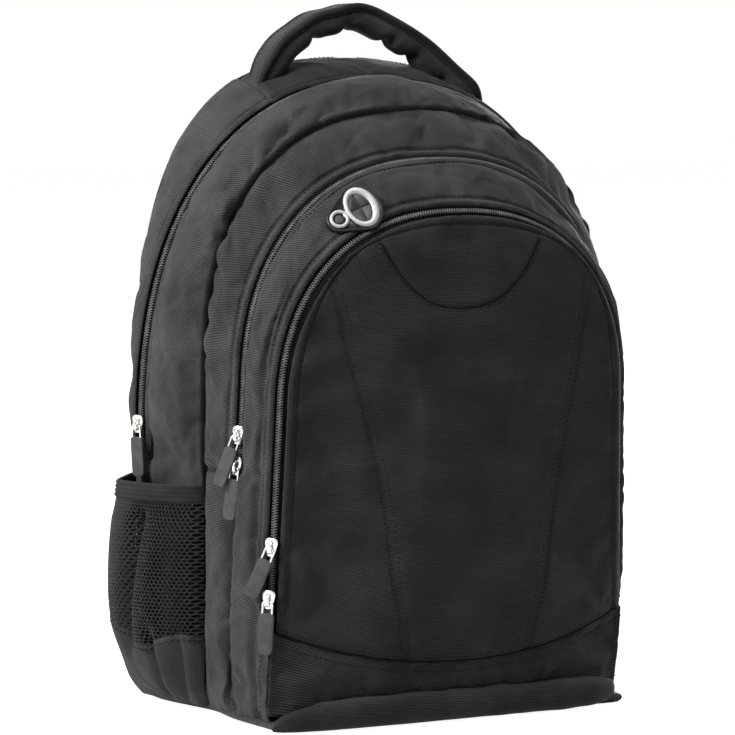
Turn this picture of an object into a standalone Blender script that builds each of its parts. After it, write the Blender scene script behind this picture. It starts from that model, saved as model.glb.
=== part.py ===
"""School backpack with three zipped compartments, modelled as separate pieces at real size.

Metres. X to the right seen from the front, Y to the back, Z up.
The origin is on the floor, under the middle of the base.
"""

import math
from collections import namedtuple

import bmesh
import bpy
from mathutils import Matrix, Vector

# Cloth and clearances
WALL = 0.003
PLATE = 0.002
CLEARANCE = 0.0004
LOOSE_CLEARANCE = 0.0012

# Base, with the padded roll along its front edge that the front sections bend about
BASE_THICKNESS = 0.006
BASE_INSET = 0.004
BOARD_THICKNESS = 0.0025
BOARD_INSET = 0.008
ROLL_RADIUS = 0.012
ROLL_REACH = 0.013
ROLL_STEPS = 8

# Depth of each section, at the floor and at its crown, and how far the front leans forward
FRONT_DEPTH_FOOT = 0.046
MIDDLE_DEPTH_FOOT = 0.039
MAIN_DEPTH_FOOT = 0.067
REAR_DEPTH_FOOT = 0.032
FRONT_DEPTH_CROWN = 0.035
MIDDLE_DEPTH_CROWN = 0.033
MAIN_DEPTH_CROWN = 0.059
REAR_DEPTH_CROWN = 0.068
FRONT_LEAN = 0.019

# Arch-shaped seams from the back to the front: half width at the floor, half width at the spring
# line, height of the spring line, height of the crown and how square the arch is
BACK_FOOT = 0.145
BACK_SHOULDER = 0.163
BACK_SPRING = 0.229
BACK_CROWN = 0.470
BACK_SQUARENESS = 2.7
MAIN_ZIP_FOOT = 0.170
MAIN_ZIP_SHOULDER = 0.182
MAIN_ZIP_SPRING = 0.218
MAIN_ZIP_DROP = 0.015
CREASE_FOOT = 0.153
CREASE_SHOULDER = 0.159
CREASE_SPRING = 0.255
CREASE_DROP = 0.022
CREASE_SQUARENESS = 2.5
MIDDLE_ZIP_FOOT = 0.152
MIDDLE_ZIP_SHOULDER = 0.146
MIDDLE_ZIP_SPRING = 0.241
MIDDLE_ZIP_DROP = 0.034
FRONT_ZIP_FOOT = 0.143
FRONT_ZIP_SHOULDER = 0.136
FRONT_ZIP_SPRING = 0.223
FRONT_ZIP_DROP = 0.036
ZIP_SQUARENESS = 2.3

# How far the cloth swells between its seams, and the height over which that starts at the base
REAR_SWELL = 0.004
MAIN_SWELL = 0.009
SIDE_SWELL = 0.005
MIDDLE_SWELL = 0.007
FRONT_SWELL = 0.005
SWELL_START = 0.080

# Zippers: tape beside the chain, the chain's half width and how far it stands out
TAPE_WIDTH = 0.010
TAPE_THICKNESS = 0.0022
TAPE_RECESS = 0.0006
CHAIN_HALF_WIDTH = 0.003
CHAIN_RISE = 0.0010
CHAIN_GAP = 0.0008
MAIN_ZIP_END = 0.176
MIDDLE_TAPE_FOOT = 0.020
FRONT_ZIP_END = 0.080

# Top panel of the rear gusset, from seam to seam, measured at the back
TOP_PANEL_TURN = 56.0
SEAM_TURN = 0.25

# Front panel: its lower seam is an arc, and the cloth is crowned
SEAM_SIDE_HEIGHT = 0.070
SEAM_MIDDLE_HEIGHT = 0.043
SEAM_GAP = 0.0005
PANEL_CROWN = 0.018
PANEL_EDGE = 0.0015
PANEL_HINGE_HEIGHT = 0.058

# Side pockets: elastic band over mesh over a plain foot
POCKET_TOP = 0.166
BAND_HEIGHT = 0.015
MESH_FOOT = 0.070
POCKET_BELLY = 0.025
BELLY_HEIGHT = 0.085
BELLY_FALL_UP = 0.008
BELLY_FALL_DOWN = 0.023
MESH_THICKNESS = 0.0012
BAND_THICKNESS = 0.0025
POCKET_FOOT_THICKNESS = 0.0018
POCKET_EDGE_SHARE = 0.03
POCKET_FULLNESS = 0.6
POCKET_COLUMNS = 10

# Carry handle
HANDLE_Y = 0.055
HANDLE_HALF_SPAN = 0.080
HANDLE_RISE = 0.028
HANDLE_WIDTH = 0.030
HANDLE_THICKNESS = 0.016
HANDLE_SQUARENESS = 2.2
BINDING_WIDTH = 0.026
BINDING_THICKNESS = 0.002

# Padded back
BACK_PANEL_THICKNESS = 0.004
PAD_THICKNESS = 0.011
PAD_INNER_X = 0.016
PAD_OUTER_X = 0.118
PAD_LOW_Z = 0.165
PAD_HIGH_Z = 0.385
LUMBAR_HALF_WIDTH = 0.086
LUMBAR_LOW_Z = 0.050
LUMBAR_HIGH_Z = 0.145
YOKE_HALF_WIDTH = 0.085
YOKE_LOW_Z = 0.418
YOKE_HEIGHT = 0.022
YOKE_THICKNESS = 0.003

# Shoulder straps, ladder locks and webbing
STRAP_TOP_X = 0.048
STRAP_TOP_Z = 0.411
STRAP_DROP = 0.257
STRAP_SPREAD = 0.056
STRAP_STAND_TOP = 0.0066
STRAP_STAND_LOW = 0.026
STRAP_BOW = 0.030
STRAP_WIDTH_TOP = 0.052
STRAP_WIDTH = 0.064
STRAP_WIDTH_LOW = 0.034
STRAP_THICKNESS = 0.012
LOCK_WIDTH = 0.036
LOCK_HEIGHT = 0.027
LOCK_THICKNESS = 0.005
LOCK_BAR = 0.0045
WEBBING_WIDTH = 0.025
WEBBING_THICKNESS = 0.0016
TAIL_LENGTH = 0.085
TAB_X = 0.122
TAB_LOW_Z = 0.028
TAB_HEIGHT = 0.030
TAB_THICKNESS = 0.003

# Sliders, and the pull tabs on their wire loops
SLIDER_LENGTH = 0.013
SLIDER_WIDTH = 0.009
SLIDER_PLATE = 0.0022
SLIDER_STANDOFF = 0.0005
BAIL_WIDTH = 0.003
BAIL_LENGTH = 0.0075
BAIL_WIRE = 0.0014
BAIL_GAP = 0.0026
WIRE_RADIUS = 0.0007
LOOP_HALF_WIDTH = 0.0034
LOOP_LENGTH = 0.008
TAG_WIDTH = 0.0105
TAG_LENGTH = 0.029
TAG_THICKNESS = 0.0025
MAIN_SLIDER_Z = 0.2065
MIDDLE_SLIDER_Z = 0.206
MIDDLE_LOWER_SLIDER_Z = 0.184
FRONT_SLIDER_Z = 0.131
FRONT_LOWER_SLIDER_Z = 0.094
MIDDLE_TAG_YAW = -26.0
MIDDLE_TAG_LEAN = 7.0
FRONT_TAG_YAW = -20.0
MAIN_CHAIN_FACING = 0.0
MIDDLE_CHAIN_FACING = 14.5
FRONT_CHAIN_FACING = 48.0

# Earphone port on the front gusset
PORT_TURN = 61.0
PORT_SHARE = 0.62
PORT_HALF_LENGTH = 0.021
PORT_HALF_WIDTH = 0.015
PORT_BASE_THICKNESS = 0.0018
PORT_RING_THICKNESS = 0.0016
PORT_RING_WIDTH = 0.0032
PORT_RING_RADIUS = 0.0093
PORT_NARROWING = 0.28
PORT_MEMBRANE_THICKNESS = 0.0012

# Fineness of the faceted shapes
TURN_STEPS = 7
PATH_STEPS = 14
ROUND_STEPS = 20
WEBBING_STEPS = 8

Arch = namedtuple("Arch", "foot shoulder spring crown squareness y_foot y_crown")
Stop = namedtuple("Stop", "side height turn")
Cloth = namedtuple("Cloth", "rear front swell tape_behind tape_ahead")

# Places that follow from the sizes above
WALL_FOOT = BASE_THICKNESS + CLEARANCE
TOTAL_DEPTH = FRONT_DEPTH_FOOT + MIDDLE_DEPTH_FOOT + MAIN_DEPTH_FOOT + REAR_DEPTH_FOOT
FRONT_Y = -TOTAL_DEPTH / 2
MIDDLE_Y = FRONT_Y + FRONT_DEPTH_FOOT
CREASE_Y = MIDDLE_Y + MIDDLE_DEPTH_FOOT
MAIN_Y = CREASE_Y + MAIN_DEPTH_FOOT
BACK_Y = MAIN_Y + REAR_DEPTH_FOOT
FRONT_TOP_Y = FRONT_Y - FRONT_LEAN
MIDDLE_TOP_Y = FRONT_TOP_Y + FRONT_DEPTH_CROWN
CREASE_TOP_Y = MIDDLE_TOP_Y + MIDDLE_DEPTH_CROWN
MAIN_TOP_Y = CREASE_TOP_Y + MAIN_DEPTH_CROWN
BACK_TOP_Y = MAIN_TOP_Y + REAR_DEPTH_CROWN
MAIN_CROWN = BACK_CROWN - MAIN_ZIP_DROP
CREASE_CROWN = MAIN_CROWN - CREASE_DROP
MIDDLE_CROWN = CREASE_CROWN - MIDDLE_ZIP_DROP
FRONT_CROWN = MIDDLE_CROWN - FRONT_ZIP_DROP

BACK = Arch(BACK_FOOT, BACK_SHOULDER, BACK_SPRING, BACK_CROWN, BACK_SQUARENESS, BACK_Y, BACK_TOP_Y)
MAIN_ZIP = Arch(MAIN_ZIP_FOOT, MAIN_ZIP_SHOULDER, MAIN_ZIP_SPRING, MAIN_CROWN, ZIP_SQUARENESS,
                MAIN_Y, MAIN_TOP_Y)
CREASE = Arch(CREASE_FOOT, CREASE_SHOULDER, CREASE_SPRING, CREASE_CROWN, CREASE_SQUARENESS,
              CREASE_Y, CREASE_TOP_Y)
MIDDLE_ZIP = Arch(MIDDLE_ZIP_FOOT, MIDDLE_ZIP_SHOULDER, MIDDLE_ZIP_SPRING, MIDDLE_CROWN,
                  ZIP_SQUARENESS, MIDDLE_Y, MIDDLE_TOP_Y)
FRONT_ZIP = Arch(FRONT_ZIP_FOOT, FRONT_ZIP_SHOULDER, FRONT_ZIP_SPRING, FRONT_CROWN,
                 ZIP_SQUARENESS, FRONT_Y, FRONT_TOP_Y)

# The cloth between neighbouring arches, and whether a zipper's tape runs along its two edges
REAR_CLOTH = Cloth(BACK, MAIN_ZIP, REAR_SWELL, False, True)
MAIN_CLOTH = Cloth(MAIN_ZIP, CREASE, MAIN_SWELL, True, False)
SIDE_CLOTH = Cloth(MAIN_ZIP, CREASE, SIDE_SWELL, True, False)
MIDDLE_CLOTH = Cloth(CREASE, MIDDLE_ZIP, MIDDLE_SWELL, False, True)
FRONT_CLOTH = Cloth(MIDDLE_ZIP, FRONT_ZIP, FRONT_SWELL, True, True)

ROLL_AXIS = Vector((0.0, FRONT_Y - ROLL_REACH, ROLL_RADIUS))
POCKET_DIVIDER_SHARE = (TAPE_WIDTH + CLEARANCE) / FRONT_DEPTH_FOOT
REAR_SHARE = REAR_DEPTH_FOOT / (REAR_DEPTH_FOOT + MAIN_DEPTH_FOOT)


# Points on the bag's surface

def arch_point(arch, stop, inset=0.0):
    """A point of an arch seam: on its straight side at a height, or on its round top at a turn."""
    if stop.turn is None:
        rise = stop.height / arch.spring
        half = arch.foot + (arch.shoulder - arch.foot) * rise - inset
        z = stop.height
    else:
        power = 2.0 / arch.squareness
        angle = math.radians(stop.turn)
        half = (arch.shoulder - inset) * max(math.cos(angle), 0.0) ** power
        z = arch.spring + (arch.crown - inset - arch.spring) * math.sin(angle) ** power
    y = arch.y_foot + (arch.y_crown - arch.y_foot) * z / arch.crown
    return Vector((stop.side * half, y, z))


def arch_outward(arch, stop):
    """The direction square to an arch, in its own plane."""
    if stop.turn is None:
        return Vector((stop.side, 0.0, 0.0))
    angle = math.radians(stop.turn)
    power = 2.0 - 2.0 / arch.squareness
    across = max(math.cos(angle), 0.0) ** power / arch.shoulder
    upward = math.sin(angle) ** power / (arch.crown - arch.spring)
    return Vector((stop.side * across, 0.0, upward)).normalized()


def smooth(value):
    """An even ramp from 0 to 1."""
    value = min(max(value, 0.0), 1.0)
    return value * value * (3.0 - 2.0 * value)


def cloth_span(cloth, stop):
    """The distance between the two arches of a cloth at a stop."""
    return (arch_point(cloth.front, stop) - arch_point(cloth.rear, stop)).length


def surface(cloth, stop, share, depth=0.0):
    """A point on the cloth between two arches: share 0 at the rear one, depth under the outside.

    The cloth swells between its seams, and lies flat where a zipper's tape is sewn on."""
    rear, front = cloth.rear, cloth.front
    point = arch_point(rear, stop, depth).lerp(arch_point(front, stop, depth), share)
    outward = arch_outward(rear, stop).lerp(arch_outward(front, stop), share).normalized()
    flat = TAPE_WIDTH / cloth_span(cloth, stop)
    first = flat if cloth.tape_behind else 0.0
    last = 1.0 - flat if cloth.tape_ahead else 1.0
    inside = min(max((share - first) / (last - first), 0.0), 1.0)
    started = smooth(point.z / SWELL_START)
    return point + outward * (cloth.swell * started * 4.0 * inside * (1.0 - inside))


def straight_top():
    """The height up to which every arch still has straight sides."""
    return min(arch.spring for arch in (BACK, MAIN_ZIP, CREASE, MIDDLE_ZIP, FRONT_ZIP)) - CLEARANCE


def heights(low, high, steps):
    """Even heights from low to high."""
    return [low + (high - low) * k / steps for k in range(steps + 1)]


def turns(first, last, steps):
    """Even turns of the round top, in degrees."""
    return [first + (last - first) * k / steps for k in range(steps + 1)]


def whole_arch(low):
    """The stops of an arch from low on the left, over the crown and down to low on the right."""
    rising = [Stop(-1, z, None) for z in heights(low, straight_top(), 4)]
    left = [Stop(-1, None, t) for t in turns(0.0, 90.0, TURN_STEPS)]
    right = [Stop(1, stop.height, stop.turn) for stop in reversed(rising + left[:-1])]
    return rising + left + right


def turn_at_half_width(arch, half):
    """The turn at which an arch has a given half width."""
    return math.degrees(math.acos((half / arch.shoulder) ** (arch.squareness / 2.0)))


def top_height(x, share):
    """The height of the top panel at x, between the back seam and the main zipper."""
    stop = Stop(1, None, turn_at_half_width(BACK, x))
    return surface(REAR_CLOTH, stop, share).z


def back_y(z):
    """The outside of the back panel at a height."""
    return BACK.y_foot + (BACK.y_crown - BACK.y_foot) * z / BACK.crown


def front_y(z):
    """The plane of the front zipper at a height."""
    return FRONT_ZIP.y_foot + (FRONT_ZIP.y_crown - FRONT_ZIP.y_foot) * z / FRONT_ZIP.crown


# Solids made from loops of points

def cap(bm, loop):
    """Closes the end of a solid with four-sided faces."""
    last = len(loop) - 1
    for k in range(len(loop) // 2 - 1):
        bm.faces.new((loop[k], loop[k + 1], loop[last - k - 1], loop[last - k]))


def mesh_from_bmesh(name, bm):
    """A mesh with its faces pointing out, shaded smooth but for sharp edges."""
    bmesh.ops.recalc_face_normals(bm, faces=bm.faces)
    mesh = bpy.data.meshes.new(name)
    bm.to_mesh(mesh)
    bm.free()
    mesh.shade_smooth()
    mesh.set_sharp_from_angle(angle=math.radians(40))
    return mesh


def loft(name, loops, closed=False):
    """A solid through loops of equal count; closed joins the last loop to the first."""
    bm = bmesh.new()
    rings = [[bm.verts.new(point) for point in loop] for loop in loops]
    joined = list(zip(rings, rings[1:]))
    if closed:
        joined.append((rings[-1], rings[0]))
    for near, far in joined:
        for k in range(len(near)):
            after = (k + 1) % len(near)
            bm.faces.new((near[k], near[after], far[after], far[k]))
    if not closed:
        cap(bm, rings[0])
        cap(bm, rings[-1])
    return mesh_from_bmesh(name, bm)


def band_loop(cloth, stop, start, end, rows, floor=False):
    """The section of a cloth band at a stop, from start behind it to end short of the front arch."""
    span = cloth_span(cloth, stop)
    first = start / span
    last = 1.0 - end / span
    shares = [first + (last - first) * k / rows for k in range(rows + 1)]
    outer = [surface(cloth, stop, share) for share in shares]
    inner = [surface(cloth, stop, share, WALL) for share in reversed(shares)]
    if floor:
        inner = [point + Vector((0.0, 0.0, WALL)) for point in inner]
    return outer + inner


def band(name, cloth, stops, start, end, rows, closed=False):
    """A cloth band along stops. A closed one has a floor between its two feet."""
    last = len(stops) - 1
    loops = []
    for k, stop in enumerate(stops):
        floor = closed and k in (0, last)
        loops.append(band_loop(cloth, stop, start, end, rows, floor))
    return loft(name, loops, closed)


def tape_loop(cloth, stop, ahead):
    """The section of half a zipper: its tape, and the chain standing proud along the middle."""
    span = cloth_span(cloth, stop)
    edges = (TAPE_WIDTH, CHAIN_HALF_WIDTH, CHAIN_GAP / 2.0)
    shares = [1.0 - e / span if ahead else e / span for e in edges]
    corners = (
        (shares[0], TAPE_RECESS),
        (shares[1], TAPE_RECESS),
        (shares[1], -CHAIN_RISE),
        (shares[2], -CHAIN_RISE),
        (shares[2], TAPE_RECESS + TAPE_THICKNESS),
        (shares[0], TAPE_RECESS + TAPE_THICKNESS),
    )
    return [surface(cloth, stop, share, depth) for share, depth in corners]


def tape(name, cloth, stops, ahead):
    """Half a zipper along stops, on the edge of a cloth that lies ahead or behind."""
    return loft(name, [tape_loop(cloth, stop, ahead) for stop in stops])


def arch_plate(name, arch, inset, low, thickness):
    """A flat panel inside an arch, upright in the arch's own plane."""
    outline = [arch_point(arch, stop, inset) for stop in whole_arch(low)]
    bm = bmesh.new()
    near = [bm.verts.new(p + Vector((0.0, -thickness / 2.0, 0.0))) for p in outline]
    far = [bm.verts.new(p + Vector((0.0, thickness / 2.0, 0.0))) for p in outline]
    count = len(outline)
    for k in range(count):
        after = (k + 1) % count
        bm.faces.new((near[k], near[after], far[after], far[k]))
    for side in (near, far):
        for k in range(count // 2):
            left, right = side[k], side[count - 1 - k]
            next_left, next_right = side[k + 1], side[count - 2 - k]
            if next_left == next_right:
                bm.faces.new((left, next_left, right))
            else:
                bm.faces.new((left, next_left, next_right, right))
    return mesh_from_bmesh(name, bm)


def ribbon(name, path, across, widths, thicknesses, round_sides=True):
    """A strap along a path: across gives the direction of its width at each point."""
    corners = []
    if round_sides:
        for k in range(8):
            angle = math.radians(22.5 + 45.0 * k)
            corners.append((math.cos(angle) / math.cos(math.radians(22.5)),
                            math.sin(angle) / math.sin(math.radians(67.5))))
    else:
        corners = [(1.0, 1.0), (-1.0, 1.0), (-1.0, -1.0), (1.0, -1.0)]
    loops = []
    for k, point in enumerate(path):
        before = path[max(k - 1, 0)]
        after = path[min(k + 1, len(path) - 1)]
        along = (after - before).normalized()
        side = (across[k] - along * across[k].dot(along)).normalized()
        normal = side.cross(along)
        loop = []
        for u, v in corners:
            loop.append(point + side * (u * widths[k] / 2.0) + normal * (v * thicknesses[k] / 2.0))
        loops.append(loop)
    return loft(name, loops)


def dome_pad(name, low, high, left, right, thickness):
    """A crowned cushion lying on the outside of the back panel, drawn in along its edges."""
    middle_x, middle_z = (left + right) / 2.0, (low + high) / 2.0
    half_x, half_z = (right - left) / 2.0, (high - low) / 2.0
    rings = ((1.0, 0.0), (1.0, 0.35), (0.93, 0.75), (0.75, 0.95), (0.4, 1.0))
    bm = bmesh.new()
    loops = []
    for scale, rise in rings:
        loop = []
        for k in range(ROUND_STEPS):
            angle = 2.0 * math.pi * k / ROUND_STEPS
            c, s = math.cos(angle), math.sin(angle)
            x = middle_x + half_x * scale * math.copysign(abs(c) ** 0.5, c)
            z = middle_z + half_z * scale * math.copysign(abs(s) ** 0.5, s)
            y = back_y(z) + CLEARANCE + thickness * rise
            loop.append(bm.verts.new((x, y, z)))
        loops.append(loop)
    for near, far in zip(loops, loops[1:]):
        for k in range(ROUND_STEPS):
            after = (k + 1) % ROUND_STEPS
            bm.faces.new((near[k], near[after], far[after], far[k]))
    bm.faces.new(loops[0])
    bm.faces.new(loops[-1])
    return mesh_from_bmesh(name, bm)


def back_patch(name, left, right, low, high, thickness):
    """A flat patch sewn on the outside of the back panel."""
    loops = []
    for x in (left, right):
        loop = []
        for z, lift in ((low, 0.0), (high, 0.0), (high, thickness), (low, thickness)):
            loop.append(Vector((x, back_y(z) + CLEARANCE + lift, z)))
        loops.append(loop)
    return loft(name, loops)


def union(name, meshes):
    """One solid from several that overlap."""
    first = bpy.data.objects.new(name, meshes[0])
    bpy.context.scene.collection.objects.link(first)
    helpers = []
    for mesh in meshes[1:]:
        helper = bpy.data.objects.new(name + "_part", mesh)
        bpy.context.scene.collection.objects.link(helper)
        modifier = first.modifiers.new("join", "BOOLEAN")
        modifier.operation = "UNION"
        modifier.object = helper
        helpers.append(helper)
    evaluated = first.evaluated_get(bpy.context.evaluated_depsgraph_get())
    joined = bpy.data.meshes.new_from_object(evaluated)
    for item in [first] + helpers:
        bpy.data.objects.remove(item)
    return joined


# The rear body

def base_sections():
    """Across the base from front to back: y, half width, underside and top."""
    front_width = FRONT_ZIP.foot - BASE_INSET
    sections = []
    for k in range(ROLL_STEPS):
        angle = math.pi * (1.0 - max(k, 0.5) / ROLL_STEPS)
        y = ROLL_AXIS.y + ROLL_RADIUS * math.cos(angle)
        rise = ROLL_RADIUS * math.sin(angle)
        rounding = ROLL_RADIUS - rise if k < ROLL_STEPS / 2 else 0.0
        sections.append((y, front_width - rounding, rounding, ROLL_RADIUS + rise))
    sections.append((ROLL_AXIS.y + ROLL_RADIUS, front_width, 0.0, BASE_THICKNESS))
    for arch in (MIDDLE_ZIP, CREASE, MAIN_ZIP, BACK):
        sections.append((arch.y_foot, arch.foot - BASE_INSET, 0.0, BASE_THICKNESS))
    return sections


def base_panel():
    """The base: a flat panel with a padded roll along its front edge, round at its corners."""
    loops = []
    for y, width, low, top in base_sections():
        corners = ((-width, low), (width, low), (width, top), (-width, top))
        loops.append([Vector((x, y, z)) for x, z in corners])
    return loft("base_panel", loops)


def base_board():
    """The stiff board on the floor of the main compartment."""
    width = min(CREASE.foot, MAIN_ZIP.foot, BACK.foot) - BOARD_INSET
    low, top = WALL_FOOT, WALL_FOOT + BOARD_THICKNESS
    loops = []
    for y in (CREASE.y_foot + BOARD_INSET, BACK.y_foot - BACK_PANEL_THICKNESS - BOARD_INSET):
        corners = ((-width, low), (width, low), (width, top), (-width, top))
        loops.append([Vector((x, y, z)) for x, z in corners])
    return loft("base_board", loops)


def rear_gusset(name, side):
    """A part of the band between the back and the main zipper: left, top or right."""
    seam = TOP_PANEL_TURN
    if side == 0:
        rising = [Stop(-1, None, t) for t in turns(seam + SEAM_TURN, 90.0, 4)]
        stops = rising + [Stop(1, None, stop.turn) for stop in reversed(rising[:-1])]
    else:
        stops = [Stop(side, z, None) for z in heights(WALL_FOOT, straight_top(), 4)]
        stops += [Stop(side, None, t) for t in turns(0.0, seam - SEAM_TURN, 4)]
    return band(name, REAR_CLOTH, stops, CLEARANCE, TAPE_WIDTH + CLEARANCE, 3)


def side_panel(name, side):
    """The lower side of the main compartment, under the zipper's end and behind the pocket."""
    stops = [Stop(side, z, None) for z in heights(WALL_FOOT, MAIN_ZIP_END - CLEARANCE, 4)]
    return band(name, SIDE_CLOTH, stops, CLEARANCE, LOOSE_CLEARANCE, 4)


def pocket_offset(z, share):
    """How far a side pocket stands off the bag at a height, from its rear edge to its front edge."""
    if z > BELLY_HEIGHT:
        fall = BELLY_FALL_UP * ((z - BELLY_HEIGHT) / (POCKET_TOP - BELLY_HEIGHT)) ** 2
    else:
        fall = BELLY_FALL_DOWN * ((BELLY_HEIGHT - z) / (BELLY_HEIGHT - WALL_FOOT)) ** 2
    belly = max(POCKET_BELLY - fall, 0.0)
    inside = (share - POCKET_EDGE_SHARE) / (1.0 - 2.0 * POCKET_EDGE_SHARE)
    return CLEARANCE + belly * math.sin(math.pi * min(inside, 1.0)) ** POCKET_FULLNESS


def pocket_wall(name, side, low, high, rows, thickness):
    """A height of a side pocket, from the back seam round to the crease."""
    loops = []
    for z in heights(low, high, rows):
        stop = Stop(side, z, None)
        outer, inner = [], []
        for k in range(POCKET_COLUMNS + 1):
            share = POCKET_EDGE_SHARE + (1.0 - 2.0 * POCKET_EDGE_SHARE) * k / POCKET_COLUMNS
            offset = pocket_offset(z, share)
            if share < REAR_SHARE:
                cloth, along = REAR_CLOTH, share / REAR_SHARE
            else:
                cloth, along = SIDE_CLOTH, (share - REAR_SHARE) / (1.0 - REAR_SHARE)
            inner.append(surface(cloth, stop, along, -offset))
            outer.append(surface(cloth, stop, along, -offset - thickness))
        loops.append(outer + inner[::-1])
    return loft(name, loops)


def strap_tab(name, side):
    """The sewn tab near the base that holds the webbing."""
    left, right = sorted((side * (TAB_X - WEBBING_WIDTH / 2), side * (TAB_X + WEBBING_WIDTH / 2)))
    return back_patch(name, left, right, TAB_LOW_Z, TAB_LOW_Z + TAB_HEIGHT, TAB_THICKNESS)


# Handle and shoulder straps

def handle_axis():
    """The line that the handle folds about, over its two feet."""
    share = (BACK.y_crown - HANDLE_Y) / (BACK.y_crown - MAIN_ZIP.y_crown)
    inner_x = HANDLE_HALF_SPAN - HANDLE_THICKNESS / 2.0
    rear_share = max(share - HANDLE_WIDTH / 2.0 / REAR_DEPTH_CROWN, 0.0)
    height = max(top_height(inner_x, share), top_height(inner_x, rear_share) - HANDLE_WIDTH / 6.0)
    return Vector((0.0, HANDLE_Y, height + HANDLE_WIDTH / 2.0))


def handle_path(grow):
    """The middle line of the handle, from foot to foot, grown outwards."""
    axis = handle_axis()
    power = 2.0 / HANDLE_SQUARENESS
    path = []
    for k in range(PATH_STEPS + 1):
        angle = math.pi * k / PATH_STEPS
        c, s = math.cos(angle), math.sin(angle)
        x = -(HANDLE_HALF_SPAN + grow) * math.copysign(abs(c) ** power, c)
        z = axis.z + (HANDLE_RISE + grow) * max(s, 0.0) ** power
        path.append(Vector((x, axis.y, z)))
    return path


def handle_grip():
    """The padded grip, with round ends where it folds."""
    path = handle_path(0.0)
    widths = [HANDLE_WIDTH] * len(path)
    for turn in (30.0, 55.0, 75.0, 86.0):
        drop = HANDLE_WIDTH / 2.0 * math.sin(math.radians(turn))
        width = HANDLE_WIDTH * math.cos(math.radians(turn))
        axis_z = handle_axis().z
        path = [Vector((-HANDLE_HALF_SPAN, HANDLE_Y, axis_z - drop))] + path
        path = path + [Vector((HANDLE_HALF_SPAN, HANDLE_Y, axis_z - drop))]
        widths = [width] + widths + [width]
    across = [Vector((0.0, 1.0, 0.0))] * len(path)
    return ribbon("handle_grip", path, across, widths, [HANDLE_THICKNESS] * len(path))


def handle_binding():
    """The webbing sewn over the outside of the grip."""
    path = handle_path((HANDLE_THICKNESS + BINDING_THICKNESS) / 2.0 + LOOSE_CLEARANCE)
    across = [Vector((0.0, 1.0, 0.0))] * len(path)
    widths = [BINDING_WIDTH] * len(path)
    thicknesses = [BINDING_THICKNESS] * len(path)
    return ribbon("handle_binding", path, across, widths, thicknesses, round_sides=False)


def strap_point(side, t):
    """The middle line of a shoulder strap: t from 0 at the yoke to 1 at the ladder lock."""
    z = STRAP_TOP_Z - STRAP_DROP * t
    x = STRAP_TOP_X + STRAP_SPREAD * smooth(t)
    stand = STRAP_STAND_TOP + (STRAP_STAND_LOW - STRAP_STAND_TOP) * t
    bow = STRAP_BOW * math.sin(math.pi * t ** 0.8)
    return Vector((side * x, back_y(z) + stand + bow, z))


def strap_pad(name, side):
    """A padded shoulder strap."""
    path = [strap_point(side, k / PATH_STEPS) for k in range(PATH_STEPS + 1)]
    widths = []
    for k in range(PATH_STEPS + 1):
        t = k / PATH_STEPS
        low = STRAP_WIDTH_TOP if t < 0.5 else STRAP_WIDTH_LOW
        widths.append(low + (STRAP_WIDTH - low) * smooth(1.0 - abs(2.0 * t - 1.0) ** 2))
    across = [Vector((1.0, 0.0, 0.0))] * len(path)
    return ribbon(name, path, across, widths, [STRAP_THICKNESS] * len(path))


def lock_top(side):
    """The middle of a ladder lock's upper edge, under the end of the strap."""
    return strap_point(side, 1.0) - Vector((0.0, 0.0, LOOSE_CLEARANCE))


def ladder_lock(name, side):
    """A buckle frame with two slots for the webbing."""
    top = lock_top(side)
    half_width = LOCK_WIDTH / 2.0
    half_slot = half_width - LOCK_BAR
    slot = (LOCK_HEIGHT - 3.0 * LOCK_BAR) / 2.0
    bars = []
    for k in range(3):
        bar_top = top.z - k * (LOCK_BAR + slot)
        bars.append((bar_top, bar_top - LOCK_BAR))
    rows = [edge for pair in bars for edge in pair]
    columns = (-half_width, -half_slot, half_slot, half_width)
    bm = bmesh.new()
    near, far = {}, {}
    for i, x in enumerate(columns):
        for j, z in enumerate(rows):
            near[i, j] = bm.verts.new((top.x + x, top.y - LOCK_THICKNESS / 2.0, z))
            far[i, j] = bm.verts.new((top.x + x, top.y + LOCK_THICKNESS / 2.0, z))
    cells = [(i, j) for i in range(3) for j in range(5) if not (i == 1 and j in (1, 3))]
    edges = {}
    for i, j in cells:
        corners = ((i, j), (i + 1, j), (i + 1, j + 1), (i, j + 1))
        bm.faces.new([near[c] for c in corners])
        bm.faces.new([far[c] for c in reversed(corners)])
        for a, b in zip(corners, corners[1:] + corners[:1]):
            edges[frozenset((a, b))] = edges.get(frozenset((a, b)), []) + [(a, b)]
    for uses in edges.values():
        if len(uses) == 1:
            a, b = uses[0]
            bm.faces.new((near[a], near[b], far[b], far[a]))
    return mesh_from_bmesh(name, bm)


def webbing_top(side):
    """The upper end of the lower webbing, just under the ladder lock."""
    return lock_top(side) - Vector((0.0, 0.0, LOCK_HEIGHT + CLEARANCE))


def strap_webbing(name, side):
    """The webbing from the sewn tab up to the ladder lock, upright at both ends."""
    foot_z = TAB_LOW_Z + TAB_HEIGHT
    lift = CLEARANCE + TAB_THICKNESS / 2.0
    foot = Vector((side * TAB_X, back_y(foot_z) + lift, foot_z + CLEARANCE))
    head = webbing_top(side)
    path = []
    for k in range(WEBBING_STEPS + 1):
        point = foot.lerp(head, smooth((k - 1) / (WEBBING_STEPS - 2)))
        point.z = foot.z + (head.z - foot.z) * k / WEBBING_STEPS
        path.append(point)
    across = [Vector((1.0, 0.0, 0.0))] * len(path)
    widths = [WEBBING_WIDTH] * len(path)
    thicknesses = [WEBBING_THICKNESS] * len(path)
    return ribbon(name, path, across, widths, thicknesses, round_sides=False)


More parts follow.
